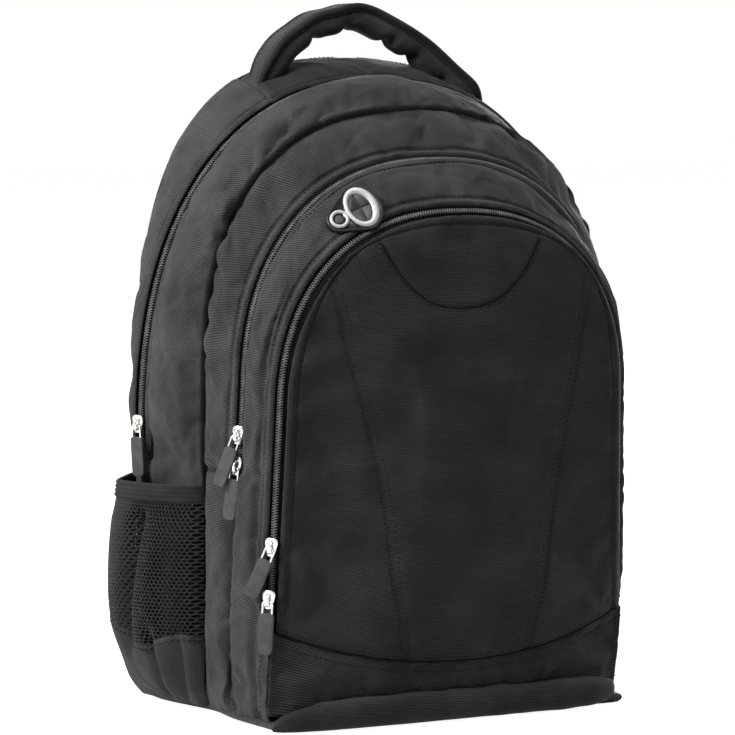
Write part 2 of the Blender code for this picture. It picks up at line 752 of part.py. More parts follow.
def strap_tail(name, side):
    """The loose end of the webbing, hanging behind the ladder lock."""
    top = lock_top(side)
    y = top.y + LOCK_THICKNESS / 2.0 + WEBBING_THICKNESS / 2.0 + CLEARANCE
    high = top.z - LOCK_HEIGHT / 2.0
    path = [Vector((top.x, y, high - TAIL_LENGTH * k / 4)) for k in range(5)]
    across = [Vector((1.0, 0.0, 0.0))] * len(path)
    widths = [WEBBING_WIDTH] * len(path)
    thicknesses = [WEBBING_THICKNESS] * len(path)
    return ribbon(name, path, across, widths, thicknesses, round_sides=False)


# The front sections

def lower_middle_band():
    """The sides and floor of the middle compartment below the zipper's ends."""
    steps = heights(MAIN_ZIP_END - CLEARANCE, WALL_FOOT, 4)
    stops = [Stop(-1, z, None) for z in steps] + [Stop(1, z, None) for z in reversed(steps)]
    feet = (len(steps) - 1, len(steps))
    loops = []
    for k, stop in enumerate(stops):
        floor = k in feet
        loops.append(band_loop(MIDDLE_CLOTH, stop, CLEARANCE, TAPE_WIDTH + CLEARANCE, 2, floor))
    return loft("middle_gusset_lower", loops)


def seam_height(share):
    """The front panel's lower seam: share runs from -1 at the left to 1 at the right."""
    return SEAM_MIDDLE_HEIGHT + (SEAM_SIDE_HEIGHT - SEAM_MIDDLE_HEIGHT) * share * share


def front_half_width(z):
    """Half the width of the front cloth below the round top."""
    rise = min(z / FRONT_ZIP.spring, 1.0)
    return FRONT_ZIP.foot + (FRONT_ZIP.shoulder - FRONT_ZIP.foot) * rise - PANEL_EDGE


def crown(x, z, low, high):
    """How far the front cloth stands forward of its zipper's plane."""
    across = min(abs(x) / FRONT_ZIP.shoulder, 1.0)
    upward = min(max((z - low) / (high - low), 0.0), 1.0)
    return PANEL_CROWN * (1.0 - across ** 3) * (1.0 - upward ** 3)


def front_cloth(name, columns):
    """A crowned panel of the front: columns are pairs of a lower and an upper point in x and z."""
    loops = []
    for (low_x, low_z), (high_x, high_z) in columns:
        outer, inner = [], []
        for k in range(6):
            t = k / 5
            x, z = low_x + (high_x - low_x) * t, low_z + (high_z - low_z) * t
            back = front_y(z) - CLEARANCE - crown(x, z, SEAM_MIDDLE_HEIGHT, FRONT_ZIP.crown)
            inner.append(Vector((x, back, z)))
            outer.append(Vector((x, back - WALL, z)))
        loops.append(outer + inner[::-1])
    return loft(name, loops)


def front_panel():
    """The front panel, inside the front zipper and above its lower seam."""
    columns = []
    inset = TAPE_WIDTH + CLEARANCE
    low_half = front_half_width(SEAM_SIDE_HEIGHT) - inset + PANEL_EDGE
    for stop in [s for s in whole_arch(WALL_FOOT) if s.turn is not None]:
        top = arch_point(FRONT_ZIP, stop, inset)
        share = top.x / (FRONT_ZIP.shoulder - inset)
        columns.append(((share * low_half, seam_height(share) + SEAM_GAP), (top.x, top.z)))
    return front_cloth("front_panel", columns)


def front_lower_panel():
    """The strip of the front under the curved seam."""
    columns = []
    low_z = 2.0 * ROLL_RADIUS + LOOSE_CLEARANCE
    for k in range(13):
        share = -1.0 + 2.0 * k / 12
        low_x = share * front_half_width(low_z)
        high_x = share * front_half_width(SEAM_SIDE_HEIGHT)
        columns.append(((low_x, low_z), (high_x, seam_height(share))))
    return front_cloth("front_lower_panel", columns)


def front_tape_front():
    """The half of the front zipper that opens with the front panel, lying in the front's plane."""
    loops = []
    for stop in whole_arch(FRONT_ZIP_END):
        loop = []
        corners = (
            (TAPE_WIDTH, 0.0),
            (CHAIN_HALF_WIDTH, 0.0),
            (CHAIN_HALF_WIDTH, CHAIN_RISE),
            (CHAIN_GAP / 2.0, CHAIN_RISE),
            (CHAIN_GAP / 2.0, -TAPE_THICKNESS),
            (TAPE_WIDTH, -TAPE_THICKNESS),
        )
        for inset, rise in corners:
            point = arch_point(FRONT_ZIP, stop, inset)
            loop.append(point - Vector((0.0, CLEARANCE + TAPE_THICKNESS + rise, 0.0)))
        loops.append(loop)
    return loft("front_zip_tape_front", loops)


def port_frame():
    """The place of the earphone port on the front gusset: centre, along the arch, up and outward."""
    stop = Stop(-1, None, PORT_TURN)
    beside = Stop(-1, None, PORT_TURN + 1.0)
    centre = surface(FRONT_CLOTH, stop, PORT_SHARE)
    along = (surface(FRONT_CLOTH, beside, PORT_SHARE) - centre).normalized()
    across = surface(FRONT_CLOTH, stop, PORT_SHARE - 0.1) - centre
    across = (across - along * across.dot(along)).normalized()
    outward = along.cross(across)
    if outward.z < 0.0:
        outward = -outward
    return centre, along, across, outward


def port_plate(name, outline, low, high):
    """A flat plate of the port: outline gives points along and across it."""
    centre, along, across, outward = port_frame()
    loops = []
    for lift in (low, high):
        loops.append([centre + along * u + across * v + outward * lift for u, v in outline])
    bm = bmesh.new()
    near = [bm.verts.new(point) for point in loops[0]]
    far = [bm.verts.new(point) for point in loops[1]]
    for k in range(len(near)):
        after = (k + 1) % len(near)
        bm.faces.new((near[k], near[after], far[after], far[k]))
    bm.faces.new(near)
    bm.faces.new(far)
    return mesh_from_bmesh(name, bm)


def port_ring_place():
    """The middle of the ring along the port, at its upper end, and the lift of its underside."""
    return PORT_HALF_LENGTH - PORT_HALF_WIDTH, 2.0 * CLEARANCE + PORT_BASE_THICKNESS


def port_base():
    """The rubber base of the port: an egg shape that lies on the gusset."""
    outline = []
    for k in range(ROUND_STEPS):
        angle = 2.0 * math.pi * k / ROUND_STEPS
        half_width = PORT_HALF_WIDTH * (1.0 - PORT_NARROWING * (1.0 - math.cos(angle)))
        outline.append((PORT_HALF_LENGTH * math.cos(angle), half_width * math.sin(angle)))
    return port_plate("port_base", outline, CLEARANCE, CLEARANCE + PORT_BASE_THICKNESS)


def port_ring():
    """The metal ring on the base that frames the slit membrane."""
    middle, low = port_ring_place()
    high = low + PORT_RING_THICKNESS
    inner = PORT_RING_RADIUS - PORT_RING_WIDTH
    centre, along, across, outward = port_frame()
    loops = []
    for k in range(ROUND_STEPS):
        angle = 2.0 * math.pi * k / ROUND_STEPS
        loop = []
        for reach, lift in ((PORT_RING_RADIUS, low), (PORT_RING_RADIUS, high), (inner, high), (inner, low)):
            u = middle + reach * math.cos(angle)
            v = reach * math.sin(angle)
            loop.append(centre + along * u + across * v + outward * lift)
        loops.append(loop)
    return loft("port_ring", loops, closed=True)


def port_membrane():
    """The slit rubber membrane inside the ring."""
    middle, low = port_ring_place()
    reach = PORT_RING_RADIUS - PORT_RING_WIDTH - CLEARANCE
    outline = []
    for k in range(ROUND_STEPS):
        angle = 2.0 * math.pi * k / ROUND_STEPS
        outline.append((middle + reach * math.cos(angle), reach * math.sin(angle)))
    return port_plate("port_membrane", outline, low, low + PORT_MEMBRANE_THICKNESS)


# Sliders and pull tabs, modelled with X across the chain, Y outwards and Z along it

def slider_mesh():
    """A slider: a waisted plate over the chain with a bail for the pull tab."""
    half, long_half = SLIDER_WIDTH / 2.0, SLIDER_LENGTH / 2.0
    sides = ((-long_half, 0.55), (-0.3 * long_half, 0.75), (0.3 * long_half, 1.0),
             (0.8 * long_half, 1.0), (long_half, 0.7))
    loops = []
    for z, share in sides:
        low, high = SLIDER_STANDOFF, SLIDER_STANDOFF + SLIDER_PLATE
        corners = ((-1, low), (1, low), (1, high), (-1, high))
        loops.append([Vector((s * half * share, y, z)) for s, y in corners])
    plate = loft("slider_plate", loops)
    top = SLIDER_STANDOFF + SLIDER_PLATE
    path = [
        Vector((0.0, top - SLIDER_PLATE / 2.0, -BAIL_LENGTH / 2.0)),
        Vector((0.0, top + BAIL_GAP * 0.6, -BAIL_LENGTH / 2.0)),
        Vector((0.0, top + BAIL_GAP + BAIL_WIRE / 2.0, -BAIL_LENGTH / 3.0)),
        Vector((0.0, top + BAIL_GAP + BAIL_WIRE / 2.0, BAIL_LENGTH / 3.0)),
        Vector((0.0, top + BAIL_GAP * 0.6, BAIL_LENGTH / 2.0)),
        Vector((0.0, top - SLIDER_PLATE / 2.0, BAIL_LENGTH / 2.0)),
    ]
    across = [Vector((1.0, 0.0, 0.0))] * len(path)
    bail = ribbon("slider_bail", path, across, [BAIL_WIDTH] * 6, [BAIL_WIRE] * 6, round_sides=False)
    return union("slider", [plate, bail])


def pull_pivot():
    """The middle of the wire in the bail, seen from the slider's own place."""
    low_end = -BAIL_LENGTH / 2.0 + BAIL_WIRE / 2.0 + WIRE_RADIUS + BAIL_WIDTH / 3.0
    height = SLIDER_STANDOFF + SLIDER_PLATE + BAIL_GAP / 2.0
    return Vector((0.0, height, low_end))


def pull_mesh(name, yaw, lean):
    """A rubber pull tab on its wire loop, hanging from the wire's middle.

    Yaw turns it aside, and lean turns it out where the cloth under it swells."""
    legs = LOOP_HALF_WIDTH
    foot = -LOOP_LENGTH - TAG_WIDTH / 8.0
    path = [Vector((-legs, 0.0, foot)), Vector((-legs, 0.0, -WIRE_RADIUS)),
            Vector((-legs + WIRE_RADIUS, 0.0, 0.0)), Vector((legs - WIRE_RADIUS, 0.0, 0.0)),
            Vector((legs, 0.0, -WIRE_RADIUS)), Vector((legs, 0.0, foot))]
    across = [Vector((0.0, 1.0, 0.0))] * len(path)
    size = [2.0 * WIRE_RADIUS] * len(path)
    wire = ribbon("pull_wire", path, across, size, size)
    half, thick = TAG_WIDTH / 2.0, TAG_THICKNESS / 2.0
    loops = []
    for share, width in ((0.0, 0.80), (0.06, 1.0), (0.80, 1.0), (0.92, 0.85), (1.0, 0.5)):
        z = -LOOP_LENGTH - TAG_LENGTH * share
        corners = ((-1, -thick), (1, -thick), (1, thick), (-1, thick))
        loops.append([Vector((s * half * width, y, z)) for s, y in corners])
    tag = loft("pull_tag", loops)
    joined = union(name, [tag, wire])
    joined.transform(Matrix.Rotation(math.radians(yaw), 4, "Y"))
    joined.transform(Matrix.Rotation(math.radians(lean), 4, "X"))
    return joined


def chain_place(arch, z, facing, rise):
    """Where a slider sits on the left side of an arch: its matrix, with Y outwards and Z up the chain."""
    point = arch_point(arch, Stop(-1, z, None))
    along = (arch_point(arch, Stop(-1, z + SLIDER_LENGTH, None)) - point).normalized()
    angle = math.radians(facing)
    outward = Vector((-math.cos(angle), -math.sin(angle), 0.0))
    outward = (outward - along * outward.dot(along)).normalized()
    across = outward.cross(along)
    turn = Matrix((across, outward, along)).transposed().to_4x4()
    return Matrix.Translation(point + outward * rise) @ turn


# Materials and the assembly

def material(name, colour, roughness, metallic=0.0):
    """A plain material with the piece's colour and finish."""
    made = bpy.data.materials.new(name)
    made.use_nodes = True
    shader = made.node_tree.nodes["Principled BSDF"]
    shader.inputs["Base Color"].default_value = (*colour, 1.0)
    shader.inputs["Roughness"].default_value = roughness
    shader.inputs["Metallic"].default_value = metallic
    return made


def pivot(name, place, parent=None):
    """An empty on a joint's axis, which carries a moving body."""
    empty = bpy.data.objects.new(name, None)
    bpy.context.scene.collection.objects.link(empty)
    empty.location = place
    if parent is not None:
        bpy.context.view_layer.update()
        empty.parent = parent
        empty.matrix_parent_inverse = parent.matrix_world.inverted()
    bpy.context.view_layer.update()
    return empty


def place(mesh, name, finish, carrier=None, matrix=None):
    """An object for one piece, carried by a pivot."""
    mesh.name = name
    made = bpy.data.objects.new(name, mesh)
    bpy.context.scene.collection.objects.link(made)
    mesh.materials.clear()
    mesh.materials.append(finish)
    if carrier is not None:
        made.parent = carrier
        made.matrix_parent_inverse = carrier.matrix_world.inverted()
    if matrix is not None:
        made.matrix_basis = matrix
    return made


def slider_list():
    """Each slider: name, arch, height, facing, chain's rise, yaw and lean of its tab, and its section."""
    front_rise = CLEARANCE + TAPE_THICKNESS
    return (
        ("main", MAIN_ZIP, MAIN_SLIDER_Z, MAIN_CHAIN_FACING, CHAIN_RISE, 0.0, 0.0, "middle_section"),
        ("middle", MIDDLE_ZIP, MIDDLE_SLIDER_Z, MIDDLE_CHAIN_FACING, CHAIN_RISE,
         MIDDLE_TAG_YAW, MIDDLE_TAG_LEAN, "front_pocket"),
        ("middle_lower", MIDDLE_ZIP, MIDDLE_LOWER_SLIDER_Z, MIDDLE_CHAIN_FACING, CHAIN_RISE,
         0.0, 0.0, "front_pocket"),
        ("front", FRONT_ZIP, FRONT_SLIDER_Z, FRONT_CHAIN_FACING, front_rise,
         FRONT_TAG_YAW, 0.0, "front_flap"),
        ("front_lower", FRONT_ZIP, FRONT_LOWER_SLIDER_Z, FRONT_CHAIN_FACING, front_rise,
         0.0, 0.0, "front_flap"),
    )


def panel_hinge():
    """The line across the foot of the front panel that it folds down about."""
    z = PANEL_HINGE_HEIGHT
    return Vector((0.0, front_y(z) - PANEL_CROWN, z))


def build_rear_body(cloth, lining, webbing, net):
    """The pieces that stay with the back."""
    place(base_panel(), "base_panel", cloth)
    place(base_board(), "base_board", lining)
    back_inset = WALL + 2.0 * LOOSE_CLEARANCE
    place(arch_plate("back_panel", BACK, back_inset, WALL_FOOT, BACK_PANEL_THICKNESS), "back_panel", cloth,
          matrix=Matrix.Translation((0.0, -BACK_PANEL_THICKNESS / 2.0, 0.0)))
    pads = (("back_pad_left", -PAD_OUTER_X, -PAD_INNER_X), ("back_pad_right", PAD_INNER_X, PAD_OUTER_X))
    for name, left, right in pads:
        place(dome_pad(name, PAD_LOW_Z, PAD_HIGH_Z, left, right, PAD_THICKNESS), name, net)
    lumbar = dome_pad("back_pad_lumbar", LUMBAR_LOW_Z, LUMBAR_HIGH_Z, -LUMBAR_HALF_WIDTH,
                      LUMBAR_HALF_WIDTH, PAD_THICKNESS)
    place(lumbar, "back_pad_lumbar", net)
    yoke = back_patch("strap_yoke", -YOKE_HALF_WIDTH, YOKE_HALF_WIDTH, YOKE_LOW_Z,
                      YOKE_LOW_Z + YOKE_HEIGHT, YOKE_THICKNESS)
    place(yoke, "strap_yoke", cloth)
    for name, side in (("rear_gusset_left", -1), ("rear_gusset_top", 0), ("rear_gusset_right", 1)):
        place(rear_gusset(name, side), name, cloth)
    rear_tape = tape("main_zip_tape_rear", REAR_CLOTH, whole_arch(WALL_FOOT), True)
    place(rear_tape, "main_zip_tape_rear", webbing)
    for word, side in (("left", -1), ("right", 1)):
        name = "side_panel_" + word
        place(side_panel(name, side), name, cloth)
        band_foot = POCKET_TOP - BAND_HEIGHT
        name = "pocket_band_" + word
        place(pocket_wall(name, side, band_foot + CLEARANCE, POCKET_TOP, 1, BAND_THICKNESS), name, webbing)
        name = "pocket_mesh_" + word
        place(pocket_wall(name, side, MESH_FOOT + CLEARANCE, band_foot, 4, MESH_THICKNESS), name, net)
        name = "pocket_foot_" + word
        place(pocket_wall(name, side, WALL_FOOT, MESH_FOOT, 4, POCKET_FOOT_THICKNESS), name, cloth)
        name = "strap_tab_" + word
        place(strap_tab(name, side), name, cloth)
        name = "strap_webbing_" + word
        place(strap_webbing(name, side), name, webbing)


def build_carrying(cloth, webbing, plastic):
    """The handle and the shoulder straps, each on its own pivot."""
    fold = pivot("handle_pivot", handle_axis())
    place(handle_grip(), "handle_grip", cloth, fold)
    place(handle_binding(), "handle_binding", webbing, fold)
    for word, side in (("left", -1), ("right", 1)):
        swing = pivot("strap_pivot_" + word, strap_point(side, 0.0))
        place(strap_pad("strap_pad_" + word, side), "strap_pad_" + word, cloth, swing)
        place(ladder_lock("ladder_lock_" + word, side), "ladder_lock_" + word, plastic, swing)
        place(strap_tail("strap_tail_" + word, side), "strap_tail_" + word, webbing, swing)


def build_middle_section(cloth, lining, webbing, carrier):
    """The pieces between the main zipper and the middle one, which tilt forward together."""
    upper = whole_arch(MAIN_ZIP_END)
    front_tape = tape("main_zip_tape_front", MAIN_CLOTH, upper, False)
    place(front_tape, "main_zip_tape_front", webbing, carrier)
    gusset = band("main_gusset", MAIN_CLOTH, upper, TAPE_WIDTH + CLEARANCE, CLEARANCE, 4)
    place(gusset, "main_gusset", cloth, carrier)
    divider = arch_plate("main_divider", CREASE, WALL + LOOSE_CLEARANCE,
                         WALL_FOOT + WALL + CLEARANCE, PLATE)
    place(divider, "main_divider", lining, carrier)
    gusset = band("middle_gusset", MIDDLE_CLOTH, upper, CLEARANCE, TAPE_WIDTH + CLEARANCE, 3)
    place(gusset, "middle_gusset", cloth, carrier)
    place(lower_middle_band(), "middle_gusset_lower", cloth, carrier)
    rear_tape = tape("middle_zip_tape_rear", MIDDLE_CLOTH, whole_arch(MIDDLE_TAPE_FOOT), True)
    place(rear_tape, "middle_zip_tape_rear", webbing, carrier)


def build_front_pocket(cloth, lining, webbing, rubber, nickel, carrier):
    """The pieces of the front pocket that tilt forward off the middle section."""
    whole = whole_arch(WALL_FOOT)
    front_tape = tape("middle_zip_tape_front", FRONT_CLOTH, whole_arch(MIDDLE_TAPE_FOOT), False)
    place(front_tape, "middle_zip_tape_front", webbing, carrier)
    edge = TAPE_WIDTH + CLEARANCE
    gusset = band("front_gusset", FRONT_CLOTH, whole, edge, edge, 3, closed=True)
    place(gusset, "front_gusset", cloth, carrier)
    rear_tape = tape("front_zip_tape_rear", FRONT_CLOTH, whole, True)
    place(rear_tape, "front_zip_tape_rear", webbing, carrier)
    share = POCKET_DIVIDER_SHARE
    seat = Arch(*[a + (b - a) * share for a, b in zip(MIDDLE_ZIP, FRONT_ZIP)])
    divider = arch_plate("pocket_divider", seat, WALL + LOOSE_CLEARANCE,
                         WALL_FOOT + WALL + CLEARANCE, PLATE)
    place(divider, "pocket_divider", lining, carrier)
    place(front_lower_panel(), "front_lower_panel", cloth, carrier)
    place(port_base(), "port_base", rubber, carrier)
    place(port_ring(), "port_ring", nickel, carrier)
    place(port_membrane(), "port_membrane", rubber, carrier)


def build_sliders(rubber, nickel, sections):
    """The zipper sliders and their pull tabs, each on its own pivot."""
    for word, arch, z, facing, rise, yaw, lean, section in slider_list():
        matrix = chain_place(arch, z, facing, rise)
        travel = pivot("slider_pivot_" + word, matrix.translation, sections[section])
        swing_place = matrix @ pull_pivot()
        swing = pivot("pull_pivot_" + word, swing_place, travel)
        place(slider_mesh(), "slider_" + word, nickel, travel, matrix)
        hung = Matrix.Translation(swing_place) @ matrix.to_3x3().to_4x4()
        place(pull_mesh("pull_" + word, yaw, lean), "pull_" + word, rubber, swing, hung)


def main():
    """Builds the whole backpack."""
    for old in list(bpy.data.objects):
        bpy.data.objects.remove(old)
    cloth = material("cloth", (0.035, 0.035, 0.038), 0.75)
    lining = material("lining", (0.06, 0.06, 0.065), 0.8)
    webbing = material("webbing", (0.02, 0.02, 0.022), 0.7)
    net = material("net", (0.025, 0.025, 0.027), 0.85)
    rubber = material("rubber", (0.04, 0.04, 0.043), 0.55)
    plastic = material("plastic", (0.02, 0.02, 0.02), 0.4)
    nickel = material("nickel", (0.75, 0.75, 0.76), 0.2, 1.0)
    build_rear_body(cloth, lining, webbing, net)
    build_carrying(cloth, webbing, plastic)
    middle = pivot("middle_section_pivot", ROLL_AXIS)
    front = pivot("front_pocket_pivot", ROLL_AXIS, middle)
    flap = pivot("front_flap_pivot", panel_hinge(), front)
    build_middle_section(cloth, lining, webbing, middle)
    build_front_pocket(cloth, lining, webbing, rubber, nickel, front)
    place(front_panel(), "front_panel", cloth, flap)
    place(front_tape_front(), "front_zip_tape_front", webbing, flap)
    sections = {"middle_section": middle, "front_pocket": front, "front_flap": flap}
    build_sliders(rubber, nickel, sections)


main()
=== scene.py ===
"""Looks of the school backpack: cloth, zippers, mesh pockets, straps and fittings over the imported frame.

Metres, in the row frame: X to the right seen from the front, Y to the back, Z up.
"""

import math
from collections import namedtuple

import bmesh
import bpy
import numpy as np
from mathutils import Matrix, Vector, noise
from mathutils.bvhtree import BVHTree

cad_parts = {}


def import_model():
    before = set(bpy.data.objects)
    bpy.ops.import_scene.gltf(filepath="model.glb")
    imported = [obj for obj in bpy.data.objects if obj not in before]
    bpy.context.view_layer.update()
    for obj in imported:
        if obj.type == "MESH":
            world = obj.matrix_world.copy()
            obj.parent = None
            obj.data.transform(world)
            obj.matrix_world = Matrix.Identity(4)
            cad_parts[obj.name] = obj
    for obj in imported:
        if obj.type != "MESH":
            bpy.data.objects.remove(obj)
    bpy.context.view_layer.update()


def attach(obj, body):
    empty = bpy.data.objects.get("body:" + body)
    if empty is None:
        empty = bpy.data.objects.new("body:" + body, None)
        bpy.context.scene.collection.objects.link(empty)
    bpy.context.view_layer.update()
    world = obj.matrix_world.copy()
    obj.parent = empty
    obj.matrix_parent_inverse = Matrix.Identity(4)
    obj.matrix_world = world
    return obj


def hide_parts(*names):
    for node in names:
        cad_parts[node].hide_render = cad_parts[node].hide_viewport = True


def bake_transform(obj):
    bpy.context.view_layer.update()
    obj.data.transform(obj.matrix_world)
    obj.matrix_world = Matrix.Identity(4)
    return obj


# Arch-shaped seams of the frame, from the back to the front: half width at the floor and at the
# spring line, height of the spring line and of the crown, squareness, and y at floor and crown
Arch = namedtuple("Arch", "foot shoulder spring crown squareness y_foot y_crown")
BACK = Arch(0.145, 0.163, 0.229, 0.470, 2.7, 0.092, 0.084)
MAIN_ZIP = Arch(0.170, 0.182, 0.218, 0.455, 2.3, 0.060, 0.016)
CREASE = Arch(0.153, 0.159, 0.255, 0.433, 2.5, -0.007, -0.043)
MIDDLE_ZIP = Arch(0.152, 0.146, 0.241, 0.399, 2.3, -0.046, -0.076)
FRONT_ZIP = Arch(0.143, 0.136, 0.223, 0.363, 2.3, -0.092, -0.111)

# The foot of every arch tucks in under the bag. Cloth starts a little above the floor, and bands
# at that share of the rough length of an arch
TUCK = 0.007
TUCK_HEIGHT = 0.022
CLOTH_FOOT = 0.004
ARCH_LENGTH = 1.05
BAND_FOOT = CLOTH_FOOT / ARCH_LENGTH

X_AXIS = np.array([1.0, 0.0, 0.0])
Y_AXIS = np.array([0.0, 1.0, 0.0])
Z_AXIS = np.array([0.0, 0.0, 1.0])

# How far each zipper's chain is turned to the front, in degrees: at its crown and down its sides
CHAIN_FACING = {MAIN_ZIP: (10.0, 32.0), MIDDLE_ZIP: (16.0, 34.0), FRONT_ZIP: (40.0, 48.0)}

# Cloth bands between the arches: rear and front arch, swell and the height where it starts, how gently it
# rises from each edge, the heights where zippers end, and rows of points across it
Band = namedtuple("Band", "rear front swell start rear_rise front_rise rear_zip_end front_zip_end rows")
MAIN_ZIP_END = 0.176
MIDDLE_ZIP_END = 0.176
FRONT_ZIP_END = 0.080
SLIDER_STOP = 0.168
BANDS = {
    "rear_gusset": Band(BACK, MAIN_ZIP, 0.004, 0.0, 0.6, 0.8, None, MAIN_ZIP_END, 15),
    "main_gusset": Band(MAIN_ZIP, CREASE, 0.011, 0.155, 1.0, 0.6, MAIN_ZIP_END, None, 24),
    "middle_gusset": Band(CREASE, MIDDLE_ZIP, 0.006, 0.0, 0.8, 1.0, None, MIDDLE_ZIP_END, 14),
    "front_gusset": Band(MIDDLE_ZIP, FRONT_ZIP, 0.005, 0.0, 0.9, 0.9, MIDDLE_ZIP_END, FRONT_ZIP_END, 16),
}
BAND_COLUMNS = 231
ZIP_EDGE = 0.0043
SEAM_EDGE = 0.0004
FOLD_HEIGHT = {("rear_gusset", False): 0.0016, ("main_gusset", True): 0.0006,
               ("middle_gusset", False): 0.0014, ("front_gusset", True): 0.0012,
               ("front_gusset", False): 0.0016}
FOLD_PLACE = 0.0024
FOLD_WIDTH = 0.0020
FOLD_GROOVE_PLACE = 0.0066
FOLD_GROOVE_DEPTH = 0.0015
FOLD_GROOVE_WIDTH = 0.0013
ZIP_HOLD = 0.018
ZIP_FADE = 0.02
CROWD_REACH = 0.0096
CROWD_STEP = 0.0008
CROWD_MIDDLE = 18
EDGE_RAMP = 0.012
SWELL_START = 0.080
DRAW_RIGHT = 0.008
DRAW_START = 0.06
DRAW_FADE = 0.08
DRAW_HEIGHT = 0.085
SLACK_SHARE = 1.6
SLACK_REACH = 0.10
SLACK_LOW = 0.28
SLACK_FADE = 0.09
SEAM_SINK = 0.0045
SINK_TOP = 0.185
SINK_FADE = 0.02
SINK_WIDTH = 0.005
SEAM_ROLLS = {(MAIN_ZIP, CREASE): 0.0030, (MIDDLE_ZIP, MIDDLE_ZIP): 0.0030}
SEAM_ROLL_PLACE = 0.0095
SEAM_ROLL_WIDTH = 0.0060
PRESS_DEPTH = 0.0075
PRESS_ROLL_PLACE = 0.0032
PRESS_ROLL_WIDTH = 0.0026
PRESS_ROLL_LOW = 0.16
PRESS_ROLL_FADE = 0.05
PRESS_TOP_FADE = 0.015
PRESS_FOOT_FADE = 0.03
Press = namedtuple("Press", "band from_start arch width roll top")
PRESSES = (
    Press("main_gusset", False, CREASE, 0.0015, 0.0008, None),
    Press("middle_gusset", True, CREASE, 0.0020, 0.0, None),
    Press("middle_gusset", False, MIDDLE_ZIP, 0.0036, 0.0, SLIDER_STOP),
    Press("front_gusset", True, MIDDLE_ZIP, 0.0022, 0.0028, SLIDER_STOP),
)
CLOTH_THICKNESS = 0.0020
EDGE_ROUND = 0.45
# Painted shade: cloth darkened towards a near-black colour down in its drawn seams, along the middle
# gusset's cut and on the top panel behind the main zipper, with the reach, fade and strength of each
PAINTED_SHADE_REACH = 0.0112
PAINTED_SHADE_FADE = 0.0030
CUT_PAINTED_SHADE = 0.0016
TOP_PAINTED_SHADE = 0.60
TOP_PAINTED_SHADE_FADE = 0.003
CRUMPLE_SCALE = 42.0
PAINTED_SHADE_COLOUR = (0.003, 0.003, 0.003, 1.0)
CLOTH_SPECULAR = 0.03
CLOTH_MOTTLE = 28.0
THREAD_PITCH_SHARE = 0.45
THREAD_HEIGHT_SHARE = 0.60
RIB_SHADE = 0.70
DIMPLE_PITCH = 0.0042
DIMPLE_DEPTH = 0.0008
CLOTH_SETTINGS = {"quality": 6, "mass": 0.15, "air_damping": 2.0, "tension_stiffness": 25.0,
                  "compression_stiffness": 25.0, "shear_stiffness": 8.0, "use_pressure": True,
                  "vertex_group_mass": "pinned"}
SETTLE_FRAMES = 22

# Settling cloth: pressure, spare cloth, stiffness and limit
BAND_DRAPE = (1.6, 0.014, 4.0, 0.006)
PANEL_DRAPE = (0.5, 0.006, 4.0, 0.004)
STRIP_DRAPE = (1.0, 0.010, 4.0, 0.004)
PAD_DRAPE = (3.0, 0.010, 2.0, 0.003)

# Dents in cloth: height, scale and seed
WIDE_DENTS = (0.0012, 24.0, 3.0)
FINE_DENTS = (0.0004, 60.0, 7.0)
BACK_DENTS = (0.0012, 22.0, 9.0)
LINING_DENTS = (0.0010, 25.0, 5.0)

# Gathers along sewn edges: band, rear edge or front edge, height, reach, pitch and where they start
PUCKERS = (
    ("rear_gusset", False, 0.0010, 0.008, 0.016, 0.0),
    ("main_gusset", True, 0.0012, 0.009, 0.017, 0.0),
    ("main_gusset", False, 0.0048, 0.0045, 0.017, 0.20),
    ("middle_gusset", True, 0.0026, 0.0080, 0.021, 0.18),
    ("middle_gusset", False, 0.0012, 0.007, 0.016, 0.0),
    ("front_gusset", True, 0.0012, 0.008, 0.016, 0.0),
    ("front_gusset", False, 0.0012, 0.006, 0.014, 0.0),
    ("front_strip", False, 0.0010, 0.008, 0.016, 0.0),
    ("front_strip", True, 0.0028, 0.014, 0.026, 0.0),
)
PUCKER_START = 0.08
TOP_SEAM_X = 0.083
TUCK_LINE = 0.0135
TUCK_TOP = 0.33

# Heights where the bands are cut into an upper part and two feet
MAIN_CUT = 0.158
MIDDLE_CUT = 0.179

# Front panel and the strip under its curved seam
PANEL_CROWN = 0.018
PANEL_STAND = 0.0048
PANEL_INSET = 0.0039
PANEL_FOLD = 0.0009
PANEL_FOLDS = 0.0056
SEAM_SIDE_HEIGHT = 0.070
SEAM_MIDDLE_HEIGHT = 0.043
STRIP_LOW = 0.012
STRIP_TUCK_Y = -0.1095
STRIP_ROWS = 17
STRIP_CLEAR = 0.0006
PANEL_COLUMNS = 69
PANEL_ROWS = 81
PATCH_CORNER = 0.74

# Base
BASE_INSET = 0.004
FLOOR_INSET = 0.012
ROLL_Y = -0.1085
ROLL_DEPTH = 0.0270
ROLL_HEIGHT = 0.0225
ROLL_REACH = 0.1400
ROLL_RIGHT_SHORT = 0.0050

# Side pockets
POCKET_TOP = 0.166
BAND_HEIGHT = 0.0125
POCKET_BELLY = 0.025
BELLY_HEIGHT = 0.085
BELLY_FALL_UP = 0.008
BELLY_FALL_DOWN = 0.023
POCKET_EDGE_SHARE = 0.03
POCKET_FRONT_SHARE = 0.004
POCKET_SPAN = 1.0 - POCKET_EDGE_SHARE - POCKET_FRONT_SHARE
POCKET_STAND = 0.0030
POCKET_SEWN = 0.0050
REAR_SHARE = 0.032 / 0.099
ELASTIC_ROWS = 33
ELASTIC_RIB = 0.0010
MESH_LOW = 0.030
MESH_FOOT_REAR = 0.084
MESH_FOOT_DROP = 0.040
MESH_FOOT_RISE = 0.010
MESH_WIDTH = 0.140
MESH_PITCH = 0.0034
MESH_ROW = 0.0027
NET_THICKNESS = 0.0009
MESH_HOLE = 0.78
MESH_HOLE_REAR = 0.34
HOLE_START = 0.43
HOLE_FADE = 0.20

